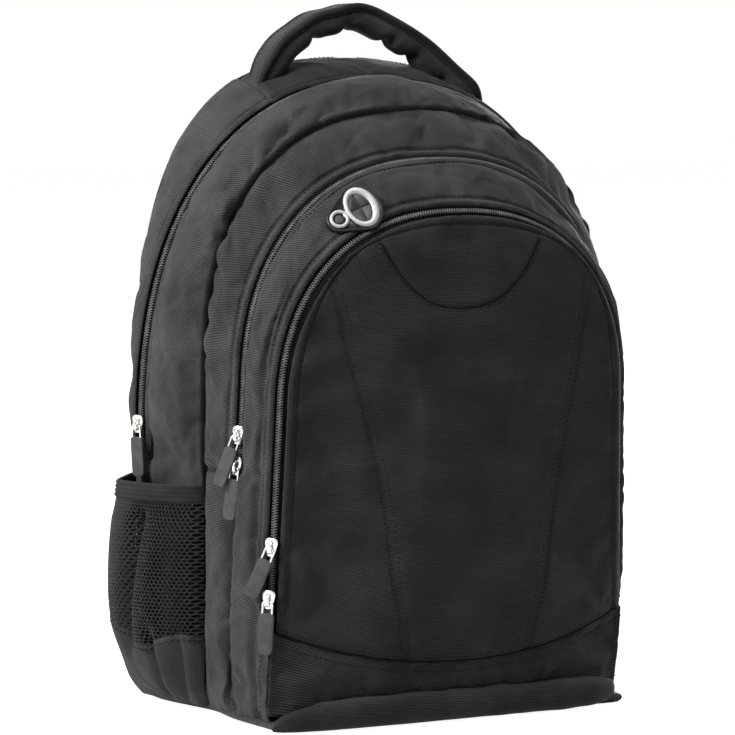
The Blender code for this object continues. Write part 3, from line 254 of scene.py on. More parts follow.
# Folds in a pocket's mesh: height, place beside the slanting fold and width.
# Tucks in its foot: height, place, lean and width
POCKET_FOLDS = ((-0.0130, 0.0, 0.055), (0.0035, 0.20, 0.13), (0.0030, -0.20, 0.12))
POCKET_TUCKS = ((-0.0070, 0.70, 0.4, 0.035), (0.0040, 0.79, 0.0, 0.040), (-0.0060, 0.875, 0.3, 0.030))

# Zippers
TOOTH_PITCH = 0.0019
TOOTH_REACH = 0.0023
TOOTH_OVERLAP = 0.0006
TOOTH_RADIUS = 0.00050
TAPE_REACH = 0.0106
CHAIN_SINK = 0.0005
TAPE_COLUMNS = 220
TAPE_ROWS = 6
TAPE_START = 0.0002
TAPE_SINK = 0.0009
TAPE_THICKNESS = 0.0008

# A tooth: reach across the chain, share of its radius and lift at each station
TOOTH_STATIONS = ((-TOOTH_OVERLAP, 0.55, 0.0), (0.0, 1.0, 0.00035), (TOOTH_REACH * 0.6, 0.95, 0.00025),
                  (TOOTH_REACH, 0.7, -0.0003))
TOOTH_LEAN = 0.22

# Sewing thread
STITCH_LENGTH = 0.0026
STITCH_PITCH = 0.0036
STITCH_RADIUS = 0.00036
STITCH_INSET = 0.0066
STITCH_STATIONS = ((-0.5, 0.35, -0.6), (0.0, 1.0, 0.5), (0.5, 0.35, -0.6))
PANEL_STITCH_OFFSETS = (0.0, 0.0062)
PATCH_STITCH_OFFSET = 0.0024
# Radius of the dark cords laid in the front panel's seams: the seam lines, with painted shadow of the gaps
# there
SEAM_SHADOW_CORD = 0.0007

# Handle, straps and back
HANDLE_AXIS = (0.055, 0.47147)
HANDLE_LINE = ((-0.0780, 0.4440), (-0.0735, 0.4575), (-0.0605, 0.4765), (-0.0465, 0.4870),
               (-0.0350, 0.4940), (-0.0215, 0.4970), (-0.0020, 0.5005), (0.0220, 0.4910),
               (0.0480, 0.4763), (0.0715, 0.4573), (0.0890, 0.4425), (0.1010, 0.4240))
HANDLE_PINCHES = (-0.042, -0.014, 0.0255, 0.0465, 0.0700)
HANDLE_PIPING = 0.0029
HANDLE_FOOT_NARROW = 0.36
HANDLE_WIDTH = 0.028
HANDLE_THICKNESS = 0.0165
HANDLE_FOOT_THICKNESS = 0.008
HANDLE_STEPS = 97
PINCH_WIDTH = 0.0036
PINCH_DEPTH = 0.55
PINCH_NARROW = 0.08
GRIP_FULL = 0.16
BINDING_LIFT = 0.0012
BINDING_INSET = 0.006
BINDING_THICKNESS = 0.0022
STRAP_TOP_X = 0.048
STRAP_TOP_Z = 0.411
STRAP_DROP = 0.257
STRAP_SPREAD = 0.056
STRAP_STAND_TOP = 0.0066
STRAP_STAND_LOW = 0.026
STRAP_BOW = 0.030
STRAP_WIDTH_TOP = 0.052
STRAP_WIDTH = 0.064
STRAP_WIDTH_LOW = 0.034
STRAP_THICKNESS = 0.013
STRAP_START = -0.06
STRAP_END_THICKNESS = 0.0040
STRAP_SQUARENESS = 2.8
STRAP_STITCH_INSET = 0.0060
WEB_WIDTH = 0.025
WEB_THICKNESS = 0.0016
TAIL_LINE = ((0.0, 0.0000, 0.0030), (0.0, 0.0034, -0.0040), (0.0, 0.0000, -0.0080), (0.0, 0.0012, -0.0120),
             (0.0, 0.0042, -0.0200), (0.0, 0.0044, -0.0500), (0.0, 0.0038, -0.0980))
TAB_X = 0.122
TAB_WIDTH = 0.029
TAB_LOW = 0.027
TAB_HIGH = 0.058
BACK_INSET = 0.0040
BACK_THICKNESS = 0.0040
YOKE_FADE = 0.006
LINING_THICKNESS = 0.0016
SEAT_SHARE = 0.0104 / 0.046

# Studio, with each lamp's name, place, target, size and energy
WORLD_LIGHT = 0.06
FLOOR_GLOW = 0.95
LAMPS = (
    ("key", (-1.50, -0.24, 1.25), (0.0, -0.02, 0.40), 0.6, 48.0),
    ("top", (-0.5, -0.8, 2.5), (0.0, -0.05, 0.30), 0.8, 32.0),
    ("fill", (0.8, -2.6, 1.4), (0.0, 0.0, 0.2), 1.6, 2.0),
    ("right", (2.6, 0.5, 0.9), (0.0, 0.0, 0.25), 1.6, 26.0),
    ("back", (1.7, 2.5, 0.7), (0.0, 0.0, 0.22), 1.6, 42.0),
)

# Camera, from the photograph
CAMERA_TURN = 26.5
CAMERA_RISE = 5.2
CAMERA_DISTANCE = 2.435
CAMERA_LENS = 162.9
CAMERA_PIVOT = Vector((0.0, -0.021, 0.230))
CAMERA_AIM_RIGHT = -0.0253
CAMERA_AIM_UP = 0.0146


# Numbers and grids of points

def unit(vectors):
    """Vectors of length one."""
    return vectors / np.maximum(np.linalg.norm(vectors, axis=-1, keepdims=True), 1e-12)


def smooth(value):
    """An even ramp from 0 to 1."""
    value = np.clip(value, 0.0, 1.0)
    return value * value * (3.0 - 2.0 * value)


def noise_at(points, scale, seed):
    """Smooth noise from about -1 to 1 at each point."""
    flat = points.reshape(-1, 3) * scale + seed
    values = np.array([noise.noise(Vector(p)) for p in flat])
    return values.reshape(points.shape[:-1])


def hump(distance, width):
    """A rounded rise: 1 at no distance, and next to nothing two widths away."""
    return np.exp(-(distance / width) ** 2)


def full_turn(count):
    """Even angles around a circle."""
    return np.linspace(0.0, 2.0 * math.pi, count, endpoint=False)


def line_lengths(points):
    """The distance of each point of a line from its start."""
    return np.concatenate([[0.0], np.cumsum(np.linalg.norm(np.diff(points, axis=0), axis=-1))])


def line_at(points, lengths, wanted):
    """Points of a line at wanted lengths along it."""
    return np.stack([np.interp(wanted, lengths, points[:, k]) for k in range(points.shape[1])], axis=-1)


def arch_half(arch, z):
    """Half the width of an arch at a height below its spring line, before its foot tucks in."""
    return arch.foot + (arch.shoulder - arch.foot) * z / arch.spring


def arch_y(arch, z):
    """The y of an arch's plane at a height."""
    return arch.y_foot + (arch.y_crown - arch.y_foot) * z / arch.crown


def tuck_in(z):
    """How far the foot of an arch tucks in at a height."""
    return TUCK * np.clip(1.0 - z / TUCK_HEIGHT, 0.0, 1.0) ** 2


def arch_curve(arch, shares):
    """Points of an arch at shares of its length, from the floor at the left over to the right."""
    turn = np.linspace(0.0, math.pi / 2.0, 400)
    power = 2.0 / arch.squareness
    rise = np.linspace(0.0, 1.0, 200, endpoint=False)
    round_half = arch.shoulder * np.clip(np.cos(turn), 0.0, None) ** power
    round_z = arch.spring + (arch.crown - arch.spring) * np.sin(turn) ** power
    half = np.concatenate([arch.foot + (arch.shoulder - arch.foot) * rise, round_half])
    z = np.concatenate([arch.spring * rise, round_z])
    half = half - tuck_in(z)
    x = np.concatenate([-half, half[::-1][1:]])
    z = np.concatenate([z, z[::-1][1:]])
    points = np.stack([x, arch_y(arch, z), z], axis=-1)
    lengths = line_lengths(points)
    return line_at(points, lengths, np.asarray(shares) * lengths[-1])


def arch_outward(arch, shares):
    """The direction square to an arch, in its own plane."""
    shares = np.asarray(shares)
    step = 0.002
    ahead = arch_curve(arch, np.clip(shares + step, 0.0, 1.0))
    behind = arch_curve(arch, np.clip(shares - step, 0.0, 1.0))
    along = ahead - behind
    return unit(np.stack([-along[:, 2], np.zeros(len(along)), along[:, 0]], axis=-1))


def chain_frame(arch, shares):
    """Points along a zipper's chain, with the directions along it, outwards and to the front."""
    points = arch_curve(arch, shares)
    along = unit(np.gradient(points, axis=0))
    crown, side = CHAIN_FACING[arch]
    square = arch_outward(arch, shares)
    angle = np.radians(crown + (side - crown) * np.abs(square[:, :1]))
    outward = square * np.cos(angle) + np.sin(angle) * np.array([0.0, -1.0, 0.0])
    outward = unit(outward - along * np.sum(outward * along, axis=-1, keepdims=True))
    forward = unit(np.cross(along, outward))
    forward *= np.where(forward[:, 1:2] > 0.0, -1.0, 1.0)
    return points, along, outward, forward


def share_at_height(arch, z):
    """The share of an arch's length at which its left side reaches a height."""
    shares = np.linspace(0.0, 0.5, 1500)
    return float(np.interp(z, arch_curve(arch, shares)[:, 2], shares))


def refine(grid):
    """Twice as many points each way, on smooth curves through the old ones."""
    for axis in (0, 1):
        rows = np.moveaxis(grid, axis, 0)
        first = 2.0 * rows[:1] - rows[1:2]
        last = 2.0 * rows[-1:] - rows[-2:-1]
        long = np.concatenate([first, rows, last])
        middle = (9.0 * (long[1:-2] + long[2:-1]) - (long[:-3] + long[3:])) / 16.0
        finer = np.empty((2 * len(rows) - 1,) + rows.shape[1:])
        finer[::2] = rows
        finer[1::2] = middle
        grid = np.moveaxis(finer, 0, axis)
    return grid


def grid_normals(grid):
    """Normals of a grid: outward where its rows run over the arch and its columns run to the front."""
    along = np.gradient(grid, axis=0)
    across = np.gradient(grid, axis=1)
    return unit(np.cross(across, along))


def grid_lengths(grid):
    """Distances along and across a grid, for the weave."""
    along = np.linalg.norm(np.diff(grid, axis=0), axis=-1).mean(axis=1)
    across = np.linalg.norm(np.diff(grid, axis=1), axis=-1).mean(axis=0)
    u = np.concatenate([[0.0], np.cumsum(along)])
    v = np.concatenate([[0.0], np.cumsum(across)])
    return np.broadcast_to(u[:, None], grid.shape[:2]), np.broadcast_to(v[None, :], grid.shape[:2])


def sample_line(points, pitch):
    """Points along a line at an even pitch, with the direction of the line at each."""
    lengths = line_lengths(points)
    count = max(int(lengths[-1] / pitch), 2)
    even = line_at(points, lengths, np.linspace(0.0, lengths[-1], count))
    return even, unit(np.gradient(even, axis=0))


# Objects from points

def add_object(name, verts, faces, finish, weave=None):
    """A smooth mesh object with its faces pointing out, and the weave's distances if given."""
    mesh = bpy.data.meshes.new(name)
    mesh.from_pydata([tuple(v) for v in verts], [], [tuple(int(k) for k in f) for f in faces])
    bm = bmesh.new()
    bm.from_mesh(mesh)
    bmesh.ops.recalc_face_normals(bm, faces=bm.faces)
    bm.to_mesh(mesh)
    bm.free()
    mesh.shade_smooth()
    if weave is not None:
        layer = mesh.attributes.new("weave", "FLOAT_VECTOR", "POINT")
        flat = np.zeros((len(verts), 3), np.float32)
        flat[:, :weave.shape[1]] = weave
        layer.data.foreach_set("vector", flat.ravel())
    mesh.materials.append(finish)
    made = bpy.data.objects.new(name, mesh)
    bpy.context.scene.collection.objects.link(made)
    return made


def grid_faces(rows, columns, start=0):
    """Four-sided faces of a grid of points."""
    index = np.arange(rows * columns).reshape(rows, columns) + start
    corners = (index[:-1, :-1], index[1:, :-1], index[1:, 1:], index[:-1, 1:])
    return np.stack([c.ravel() for c in corners], axis=-1)


def boundary(rows, columns):
    """The grid places around the edge, in order."""
    places = [(i, 0) for i in range(rows)]
    places += [(rows - 1, j) for j in range(1, columns)]
    places += [(i, columns - 1) for i in range(rows - 2, -1, -1)]
    places += [(0, j) for j in range(columns - 2, 0, -1)]
    return places


def cloth_object(name, grid, thickness, finish, shade=None):
    """A sheet of cloth with a rounded fold along its edges, darkened with painted shade where shade is
    given.
    """
    rows, columns = grid.shape[:2]
    normal = grid_normals(grid)
    inner = grid - normal * thickness
    u, v = grid_lengths(grid)
    shade = np.zeros((rows, columns)) if shade is None else shade
    weave = np.stack([u.ravel(), v.ravel(), shade.ravel()], axis=-1)
    count = rows * columns
    faces = [grid_faces(rows, columns), grid_faces(rows, columns, count)]
    places = boundary(rows, columns)
    edge, edge_weave = [], []
    for i, j in places:
        inward = grid[min(max(i, 1), rows - 2), min(max(j, 1), columns - 2)]
        out = unit(grid[i, j] - inward)
        edge.append((grid[i, j] + inner[i, j]) / 2.0 + out * thickness * EDGE_ROUND)
        edge_weave.append((u[i, j], v[i, j], shade[i, j]))
    ring = np.array([i * columns + j for i, j in places])
    fold = np.arange(len(places)) + 2 * count
    after = np.roll(np.arange(len(places)), -1)
    faces.append(np.stack([ring, ring[after], fold[after], fold], axis=-1))
    faces.append(np.stack([fold, fold[after], ring[after] + count, ring + count], axis=-1))
    verts = np.concatenate([grid.reshape(-1, 3), inner.reshape(-1, 3), np.array(edge)])
    weave = np.concatenate([weave, weave, np.array(edge_weave)])
    return add_object(name, verts, np.concatenate(faces), finish, weave)


def tube_faces(count, rings, sides, capped):
    """Faces of a number of tubes, one after another, each through the same number of rings."""
    faces = []
    for start in range(0, count * rings * sides, rings * sides):
        last = start + (rings - 1) * sides
        for low in range(start, last, sides):
            for k in range(sides):
                after = (k + 1) % sides
                faces.append((low + k, low + after, low + sides + after, low + sides + k))
        if capped:
            faces += [tuple(range(start, start + sides)), tuple(range(last, last + sides))]
    return faces


def loft_arrays(loops):
    """Points and faces of a closed tube through loops of equal count."""
    loops = np.asarray(loops)
    rings, sides = loops.shape[:2]
    return loops.reshape(-1, 3), tube_faces(1, rings, sides, True)


def tube_arrays(points, radius, sides):
    """A round tube along points."""
    along = unit(np.gradient(points, axis=0))
    guide = Z_AXIS if abs(along[0, 2]) < 0.9 else X_AXIS
    side = unit(np.cross(along[0], guide))
    angles = full_turn(sides)
    loops = []
    for point, way in zip(points, along):
        side = unit(side - way * np.dot(side, way))
        ring = np.cos(angles)[:, None] * side + np.sin(angles)[:, None] * np.cross(way, side)
        loops.append(point + ring * radius)
    return loft_arrays(loops)


def join_arrays(pieces):
    """One list of points and faces from several."""
    verts, faces, start = [], [], 0
    for points, polygons in pieces:
        verts.append(np.asarray(points))
        faces += [tuple(k + start for k in polygon) for polygon in polygons]
        start += len(points)
    return np.concatenate(verts), faces


def station_arrays(stations, across, up, capped):
    """Many short tubes at once: each station has a centre for every tube, and a radius."""
    angles = full_turn(6)
    ring = np.cos(angles)[None, :, None] * across[:, None] + np.sin(angles)[None, :, None] * up[:, None]
    verts = np.stack([centre[:, None] + ring * radius for centre, radius in stations], axis=1)
    count, rings, sides = verts.shape[:3]
    return verts.reshape(-1, 3), tube_faces(count, rings, sides, capped)


def stitch_arrays(points, normals):
    """A row of stitches along a line on a cloth."""
    even, along = sample_line(points, STITCH_PITCH)
    spots = np.linspace(0.0, 1.0, len(points))
    up = unit(line_at(normals, spots, np.linspace(0.0, 1.0, len(even))))
    stations = []
    for reach, size, lift in STITCH_STATIONS:
        centre = even + along * (reach * STITCH_LENGTH) + up * (lift * STITCH_RADIUS)
        stations.append((centre, STITCH_RADIUS * size))
    return station_arrays(stations, unit(np.cross(along, up)), up, False)


def superloop(width, thickness, squareness, count):
    """A rounded cross-section as pairs across and up."""
    power = 2.0 / squareness
    c, s = np.cos(full_turn(count)), np.sin(full_turn(count))
    return np.stack([width / 2.0 * np.sign(c) * np.abs(c) ** power,
                     thickness / 2.0 * np.sign(s) * np.abs(s) ** power], axis=-1)


# Materials

def new_material(name, colour, roughness, metallic=0.0):
    """A material with its shader, for more nodes to be added to."""
    made = bpy.data.materials.new(name)
    made.use_nodes = True
    shader = made.node_tree.nodes["Principled BSDF"]
    shader.inputs["Base Color"].default_value = (*colour, 1.0)
    shader.inputs["Roughness"].default_value = roughness
    shader.inputs["Metallic"].default_value = metallic
    return made, shader


def add_node(material, kind, **values):
    """A node with its input values set by name."""
    node = material.node_tree.nodes.new(kind)
    for key, value in values.items():
        node.inputs[key].default_value = value
    return node


def link(material, output, target):
    """Joins two sockets."""
    material.node_tree.links.new(output, target)


def wave_node(material, vector, pitch, turn):
    """Even ribs at a pitch, turned in the cloth."""
    mapping = add_node(material, "ShaderNodeMapping", Rotation=(0.0, 0.0, math.radians(turn)))
    link(material, vector, mapping.inputs["Vector"])
    wave = add_node(material, "ShaderNodeTexWave", Scale=2.0 * math.pi / 20.0 / pitch)
    wave.wave_type = "BANDS"
    wave.bands_direction = "X"
    wave.wave_profile = "SIN"
    link(material, mapping.outputs["Vector"], wave.inputs["Vector"])
    return wave


def cloud(material, scale, detail):
    """Smooth noise over the surface."""
    place = add_node(material, "ShaderNodeNewGeometry")
    noisy = add_node(material, "ShaderNodeTexNoise", Scale=scale, Detail=detail)
    link(material, place.outputs["Position"], noisy.inputs["Vector"])
    return noisy.outputs["Fac"]


def colour_ramp(material, factor, dark_at, dark, light_at, light):
    """A ramp between two colours, driven by a socket."""
    ramp = add_node(material, "ShaderNodeValToRGB")
    for k, place, colour in ((0, dark_at, dark), (1, light_at, light)):
        ramp.color_ramp.elements[k].position = place
        ramp.color_ramp.elements[k].color = (*colour, 1.0)
    link(material, factor, ramp.inputs["Fac"])
    return ramp.outputs["Color"]


def mottle(material, dark, light, scale):
    """Slow changes of tone over the surface."""
    return colour_ramp(material, cloud(material, scale, 4.0), 0.35, dark, 0.68, light)


def bump_node(material, height, distance, strength=1.0):
    """A bump driven by a socket."""
    bump = add_node(material, "ShaderNodeBump", Strength=strength, Distance=distance)
    link(material, height, bump.inputs["Height"])
    return bump


def weave_place(material):
    """Distances along and across the cloth, with its painted shade as the third value."""
    place = add_node(material, "ShaderNodeAttribute")
    place.attribute_name = "weave"
    return place.outputs["Vector"]


def crumple_normal(material, parts, depth):
    """Soft creases in the cloth, for the weave to lie on."""
    flat = add_node(material, "ShaderNodeCombineXYZ")
    link(material, parts.outputs["X"], flat.inputs["X"])
    link(material, parts.outputs["Y"], flat.inputs["Y"])
    creases = add_node(material, "ShaderNodeTexNoise", Scale=CRUMPLE_SCALE, Detail=1.0, Distortion=0.8)
    link(material, flat.outputs["Vector"], creases.inputs["Vector"])
    return bump_node(material, creases.outputs["Fac"], depth).outputs["Normal"]


def woven(name, dark, light, pitch, turn, depth, roughness, sheen, crumple=0.0):
    """Ribbed cloth: ribs along one way of the weave, broken by finer threads the other way, darkened by
    painted shade where the weave carries it.
    """
    material, shader = new_material(name, light, roughness)
    shader.inputs["Sheen Weight"].default_value = sheen
    shader.inputs["Sheen Roughness"].default_value = 0.45
    shader.inputs["Sheen Tint"].default_value = (0.9, 0.92, 1.0, 1.0)
    shader.inputs["Specular IOR Level"].default_value = CLOTH_SPECULAR
    place = weave_place(material)
    ribs = wave_node(material, place, pitch, turn)
    threads = wave_node(material, place, pitch * THREAD_PITCH_SHARE, turn + 90.0)
    height = add_node(material, "ShaderNodeMath")
    height.operation = "MULTIPLY_ADD"
    height.inputs[1].default_value = THREAD_HEIGHT_SHARE
    link(material, threads.outputs["Fac"], height.inputs[0])
    link(material, ribs.outputs["Fac"], height.inputs[2])
    bump = bump_node(material, height.outputs["Value"], depth)
    link(material, bump.outputs["Normal"], shader.inputs["Normal"])
    shade = add_node(material, "ShaderNodeMix")
    shade.data_type = "RGBA"
    shade.blend_type = "MULTIPLY"
    shade.inputs[0].default_value = RIB_SHADE
    link(material, mottle(material, dark, light, CLOTH_MOTTLE), shade.inputs[6])
    link(material, ribs.outputs["Color"], shade.inputs[7])
    parts = add_node(material, "ShaderNodeSeparateXYZ")
    link(material, place, parts.inputs["Vector"])
    if crumple > 0.0:
        link(material, crumple_normal(material, parts, crumple), bump.inputs["Normal"])
    # Painted shade: the colour is mixed towards a near-black by the third value of the weave, in seams and
    # on top of the bag
    seam = add_node(material, "ShaderNodeMix")
    seam.data_type = "RGBA"
    seam.inputs[7].default_value = PAINTED_SHADE_COLOUR
    link(material, parts.outputs["Z"], seam.inputs[0])
    link(material, shade.outputs[2], seam.inputs[6])
    link(material, seam.outputs[2], shader.inputs["Base Color"])
    return material


def moulded(name, dark, light, roughness, grain, depth):
    """Rubber or plastic with a fine moulded grain."""
    material, shader = new_material(name, light, roughness)
    shader.inputs["Specular IOR Level"].default_value = 0.2
    link(material, mottle(material, dark, light, 120.0), shader.inputs["Base Color"])
    bump = bump_node(material, cloud(material, grain, 2.0), depth, 0.5)
    link(material, bump.outputs["Normal"], shader.inputs["Normal"])
    return material


def spacer_mesh(name, dark, light):
    """Thick knitted mesh with a pattern of small round dimples."""
    material, shader = new_material(name, light, 0.8)
    shader.inputs["Sheen Weight"].default_value = 0.15
    shader.inputs["Specular IOR Level"].default_value = CLOTH_SPECULAR
    cells = add_node(material, "ShaderNodeTexVoronoi", Scale=1.0 / DIMPLE_PITCH, Randomness=0.25)
    link(material, weave_place(material), cells.inputs["Vector"])
    colour = colour_ramp(material, cells.outputs["Distance"], 0.18, dark, 0.42, light)
    link(material, colour, shader.inputs["Base Color"])
    bump = bump_node(material, cells.outputs["Distance"], DIMPLE_DEPTH)
    link(material, bump.outputs["Normal"], shader.inputs["Normal"])
    return material


def plated(name, colour, roughness):
    """Nickel plate with faint wear in its gloss."""
    material, shader = new_material(name, colour, roughness, 1.0)
    gloss = add_node(material, "ShaderNodeMapRange")
    gloss.inputs["To Min"].default_value = roughness * 0.7
    gloss.inputs["To Max"].default_value = roughness * 1.5
    link(material, cloud(material, 400.0, 3.0), gloss.inputs["Value"])
    link(material, gloss.outputs["Result"], shader.inputs["Roughness"])
    return material


def make_materials():
    """Every finish of the bag."""
    return {
        "cloth": woven("charcoal_cloth", (0.046, 0.046, 0.047), (0.074, 0.074, 0.075), 0.0015, 35.0,
                       0.00022, 0.55, 0.06, 0.0050),
        # Painted shade: a darker copy of the charcoal cloth for the front panel, the strip under it and the
        # roll on the base, which stand in more shade
        "panel": woven("charcoal_cloth_painted_shade", (0.025, 0.025, 0.026), (0.041, 0.041, 0.042), 0.0015,
                       86.0, 0.00022, 0.55, 0.06, 0.0015),
        # Painted shade: a much darker copy of the charcoal cloth for the side panels, which sit in shade
        # behind the pocket mesh
        "shaded": woven("side_cloth_painted_shade", (0.008, 0.008, 0.009), (0.014, 0.014, 0.015), 0.0015, 35.0,
                        0.00022, 0.6, 0.05),
        "binding": woven("binding_webbing", (0.042, 0.042, 0.043), (0.080, 0.080, 0.082), 0.0022, 90.0,
                         0.00030, 0.65, 0.10),
        "tape": woven("zipper_tape", (0.005, 0.005, 0.006), (0.010, 0.010, 0.011), 0.0011, 0.0,
                      0.00012, 0.75, 0.05),
        "elastic": woven("ribbed_elastic", (0.024, 0.024, 0.025), (0.042, 0.042, 0.044), 0.0012, 0.0,
                         0.00020, 0.65, 0.10),
        "net": woven("knitted_mesh", (0.028, 0.028, 0.029), (0.047, 0.047, 0.048), 0.0008, 45.0,
                     0.00010, 0.55, 0.10),
        "spacer": spacer_mesh("spacer_mesh", (0.012, 0.012, 0.013), (0.045, 0.045, 0.048)),
        "lining": woven("woven_lining", (0.030, 0.030, 0.033), (0.045, 0.045, 0.050), 0.0009, 45.0,
                        0.00008, 0.7, 0.10),
        "thread": woven("sewing_thread", (0.006, 0.006, 0.007), (0.012, 0.012, 0.013), 0.0006, 30.0,
                        0.00008, 0.6, 0.10),
        "teeth": moulded("zipper_teeth", (0.060, 0.060, 0.061), (0.130, 0.130, 0.132), 0.45, 900.0,
                         0.00003),
        "rubber": moulded("charcoal_rubber", (0.040, 0.040, 0.041), (0.060, 0.060, 0.062), 0.55, 1500.0,
                          0.00004),
        "plastic": moulded("black_plastic", (0.008, 0.008, 0.009), (0.014, 0.014, 0.015), 0.35, 1200.0,
                           0.00003),
        "satin": plated("satin_nickel", (0.26, 0.26, 0.26), 0.45),
        "nickel": plated("nickel_plate", (0.66, 0.65, 0.63), 0.24),
    }


# Cloth that swells between its seams

def band_edges(band, shares):
    """The rear and front edge of a band: on its seam, or clear of the chain where there is a zipper."""
    rear, front = arch_curve(band.rear, shares), arch_curve(band.front, shares)
    across = unit(front - rear)
    edges = []
    for arch, points, end, side in ((band.rear, rear, band.rear_zip_end, 1.0),
                                    (band.front, front, band.front_zip_end, -1.0)):
        edge = points + across * (side * SEAM_EDGE)
        if end is not None:
            forward = chain_frame(arch, shares)[3]
            clear = points + forward * (side * ZIP_EDGE)
            edge = edge + (clear - edge) * smooth((points[:, 2] - end) / EDGE_RAMP)[:, None]
        edges.append(edge)
    return edges


def draw_in(grid):
    """Draws the foot of the right side in, as it stands in the photograph."""
    drawn = grid.copy()
    low = np.clip(1.0 - grid[..., 2] / DRAW_HEIGHT, 0.0, 1.0) ** 1.5
    drawn[..., 0] -= DRAW_RIGHT * smooth((grid[..., 0] - DRAW_START) / DRAW_FADE) * low
    return drawn


def slack_at(grid):
    """How slack the cloth hangs: 1 at the upper right."""
    return smooth(grid[..., 0] / SLACK_REACH) * smooth((grid[..., 2] - SLACK_LOW) / SLACK_FADE)


def band_grid(band):
    """Points of a cloth band: along the arch, and across from its rear edge to its front edge."""
    shares = np.linspace(BAND_FOOT, 1.0 - BAND_FOOT, BAND_COLUMNS)
    rear, front = band_edges(band, shares)
    span = np.linalg.norm(front - rear, axis=-1)
    u = np.linspace(0.0, 1.0, band.rows)
    grid = rear[:, None] * (1.0 - u[None, :, None]) + front[:, None] * u[None, :, None]
    outward = unit(arch_outward(band.rear, shares)[:, None] * (1.0 - u[None, :, None])
                   + arch_outward(band.front, shares)[:, None] * u[None, :, None])
    slack = slack_at(grid)
    profile = u ** band.rear_rise * (1.0 - u) ** band.front_rise
    swell = band.swell * (1.0 - SLACK_SHARE * slack) * (profile / profile.max())[None, :]
    for arch, far in ((band.rear, u), (band.front, 1.0 - u)):
        depth = far[None, :] * span[:, None]
        if arch in (CREASE, MIDDLE_ZIP):
            sunk = SEAM_SINK * smooth((SINK_TOP - grid[..., 2]) / SINK_FADE)
            swell = swell - sunk * hump(depth, SINK_WIDTH)
        rolled = SEAM_ROLLS.get((band.rear, arch), 0.0) * (1.0 - slack)
        swell = swell + rolled * hump(depth - SEAM_ROLL_PLACE, SEAM_ROLL_WIDTH)
    swell = swell * smooth((grid[..., 2] - band.start) / SWELL_START)
    return draw_in(grid + outward * swell[..., None])


def front_y(z):
    """The plane of the front zipper at a height."""
    return arch_y(FRONT_ZIP, z)


def back_y(z):
    """The outside of the back panel at a height."""
    return arch_y(BACK, z)


def seam_height(share):
    """The front panel's lower seam: share runs from -1 at the left to 1 at the right."""
    return SEAM_MIDDLE_HEIGHT + (SEAM_SIDE_HEIGHT - SEAM_MIDDLE_HEIGHT) * share * share


def panel_crown(x, z):
    """How far the front cloth stands forward of its zipper's plane."""
    across = np.minimum(np.abs(x) / FRONT_ZIP.shoulder, 1.0)
    upward = np.clip((z - SEAM_MIDDLE_HEIGHT) / (FRONT_ZIP.crown - SEAM_MIDDLE_HEIGHT), 0.0, 1.0)
    return PANEL_CROWN * (1.0 - across ** 3) * (1.0 - upward ** 3)


def arch_patch(arch, inset, low, columns, rows):
    """Points in x and z inside an arch, even between its lower line, its two sides and its top."""
    start = share_at_height(arch, float(low(np.ones(1))[0]))
    corner = start + (0.5 - start) * PATCH_CORNER

    def inside(first, last, count):
        shares = np.linspace(first, last, count)
        return (arch_curve(arch, shares) - arch_outward(arch, shares) * inset)[:, (0, 2)]
    left = inside(start, corner, rows)
    top = inside(corner, 1.0 - corner, columns)
    right = left * np.array([-1.0, 1.0])
    share = np.linspace(-1.0, 1.0, columns)
    bottom = np.stack([share * right[0, 0], low(share)], axis=-1)
    u = np.linspace(0.0, 1.0, columns)[:, None, None]
    v = np.linspace(0.0, 1.0, rows)[None, :, None]
    between = (1.0 - v) * bottom[:, None] + v * top[:, None] + (1.0 - u) * left[None] + u * right[None]
    corners = ((1.0 - u) * ((1.0 - v) * left[0] + v * left[-1])
               + u * ((1.0 - v) * right[0] + v * right[-1]))
    flat = between - corners
    return flat[..., 0], flat[..., 1]


def front_panel_grid():
    """Points of the front panel: from right to left, and from the lower seam up to the arch."""
    x, z = arch_patch(FRONT_ZIP, PANEL_INSET, seam_height, PANEL_COLUMNS, PANEL_ROWS)
    return np.stack([x, front_y(z) - panel_crown(x, z) - PANEL_STAND, z], axis=-1)[::-1]


def front_strip_grid():
    """Points of the strip under the front panel's seam, down behind the roll on the base."""
    share = np.linspace(-1.0, 1.0, PANEL_COLUMNS)[:, None]
    t = np.linspace(0.0, 1.0, STRIP_ROWS)[None, :]
    z = STRIP_LOW + (seam_height(share) - STRIP_CLEAR - STRIP_LOW) * t
    x = share * (arch_half(FRONT_ZIP, z) - STRIP_CLEAR)
    flat_y = front_y(z) - panel_crown(x, z) - PANEL_STAND
    tuck = (1.0 - t) ** 2.0 * (1.0 - np.abs(share) ** 6)
    return np.stack([x, flat_y + (STRIP_TUCK_Y - flat_y) * tuck, z], axis=-1)[::-1]


def edge_pins(grid):
    """The grid's four edges."""
    pinned = np.zeros(grid.shape[:2], bool)
    pinned[0] = pinned[-1] = True
    pinned[:, 0] = pinned[:, -1] = True
    return pinned


Drape = namedtuple("Drape", "grid pinned pressure growth bending cap hold")


def drape_object(name, drape):
    """A grid as a sheet of Blender cloth, pinned and under pressure."""
    rows, columns = drape.grid.shape[:2]
    mesh = bpy.data.meshes.new(name + "_drape")
    faces = grid_faces(rows, columns)[:, ::-1]
    mesh.from_pydata([tuple(v) for v in drape.grid.reshape(-1, 3)], [], faces.tolist())
    sheet = bpy.data.objects.new(name + "_drape", mesh)
    bpy.context.scene.collection.objects.link(sheet)
    group = sheet.vertex_groups.new(name="pinned")
    group.add([int(k) for k in np.flatnonzero(drape.pinned.ravel())], 1.0, "REPLACE")
    cloth = sheet.modifiers.new("cloth", "CLOTH")
    for key, value in CLOTH_SETTINGS.items():
        setattr(cloth.settings, key, value)
    cloth.settings.bending_stiffness = drape.bending
    cloth.settings.uniform_pressure_force = drape.pressure
    cloth.settings.shrink_min = -drape.growth
    cloth.settings.effector_weights.gravity = 0.0
    cloth.collision_settings.use_collision = False
    cloth.collision_settings.use_self_collision = False
    cloth.point_cache.frame_end = SETTLE_FRAMES
    return sheet


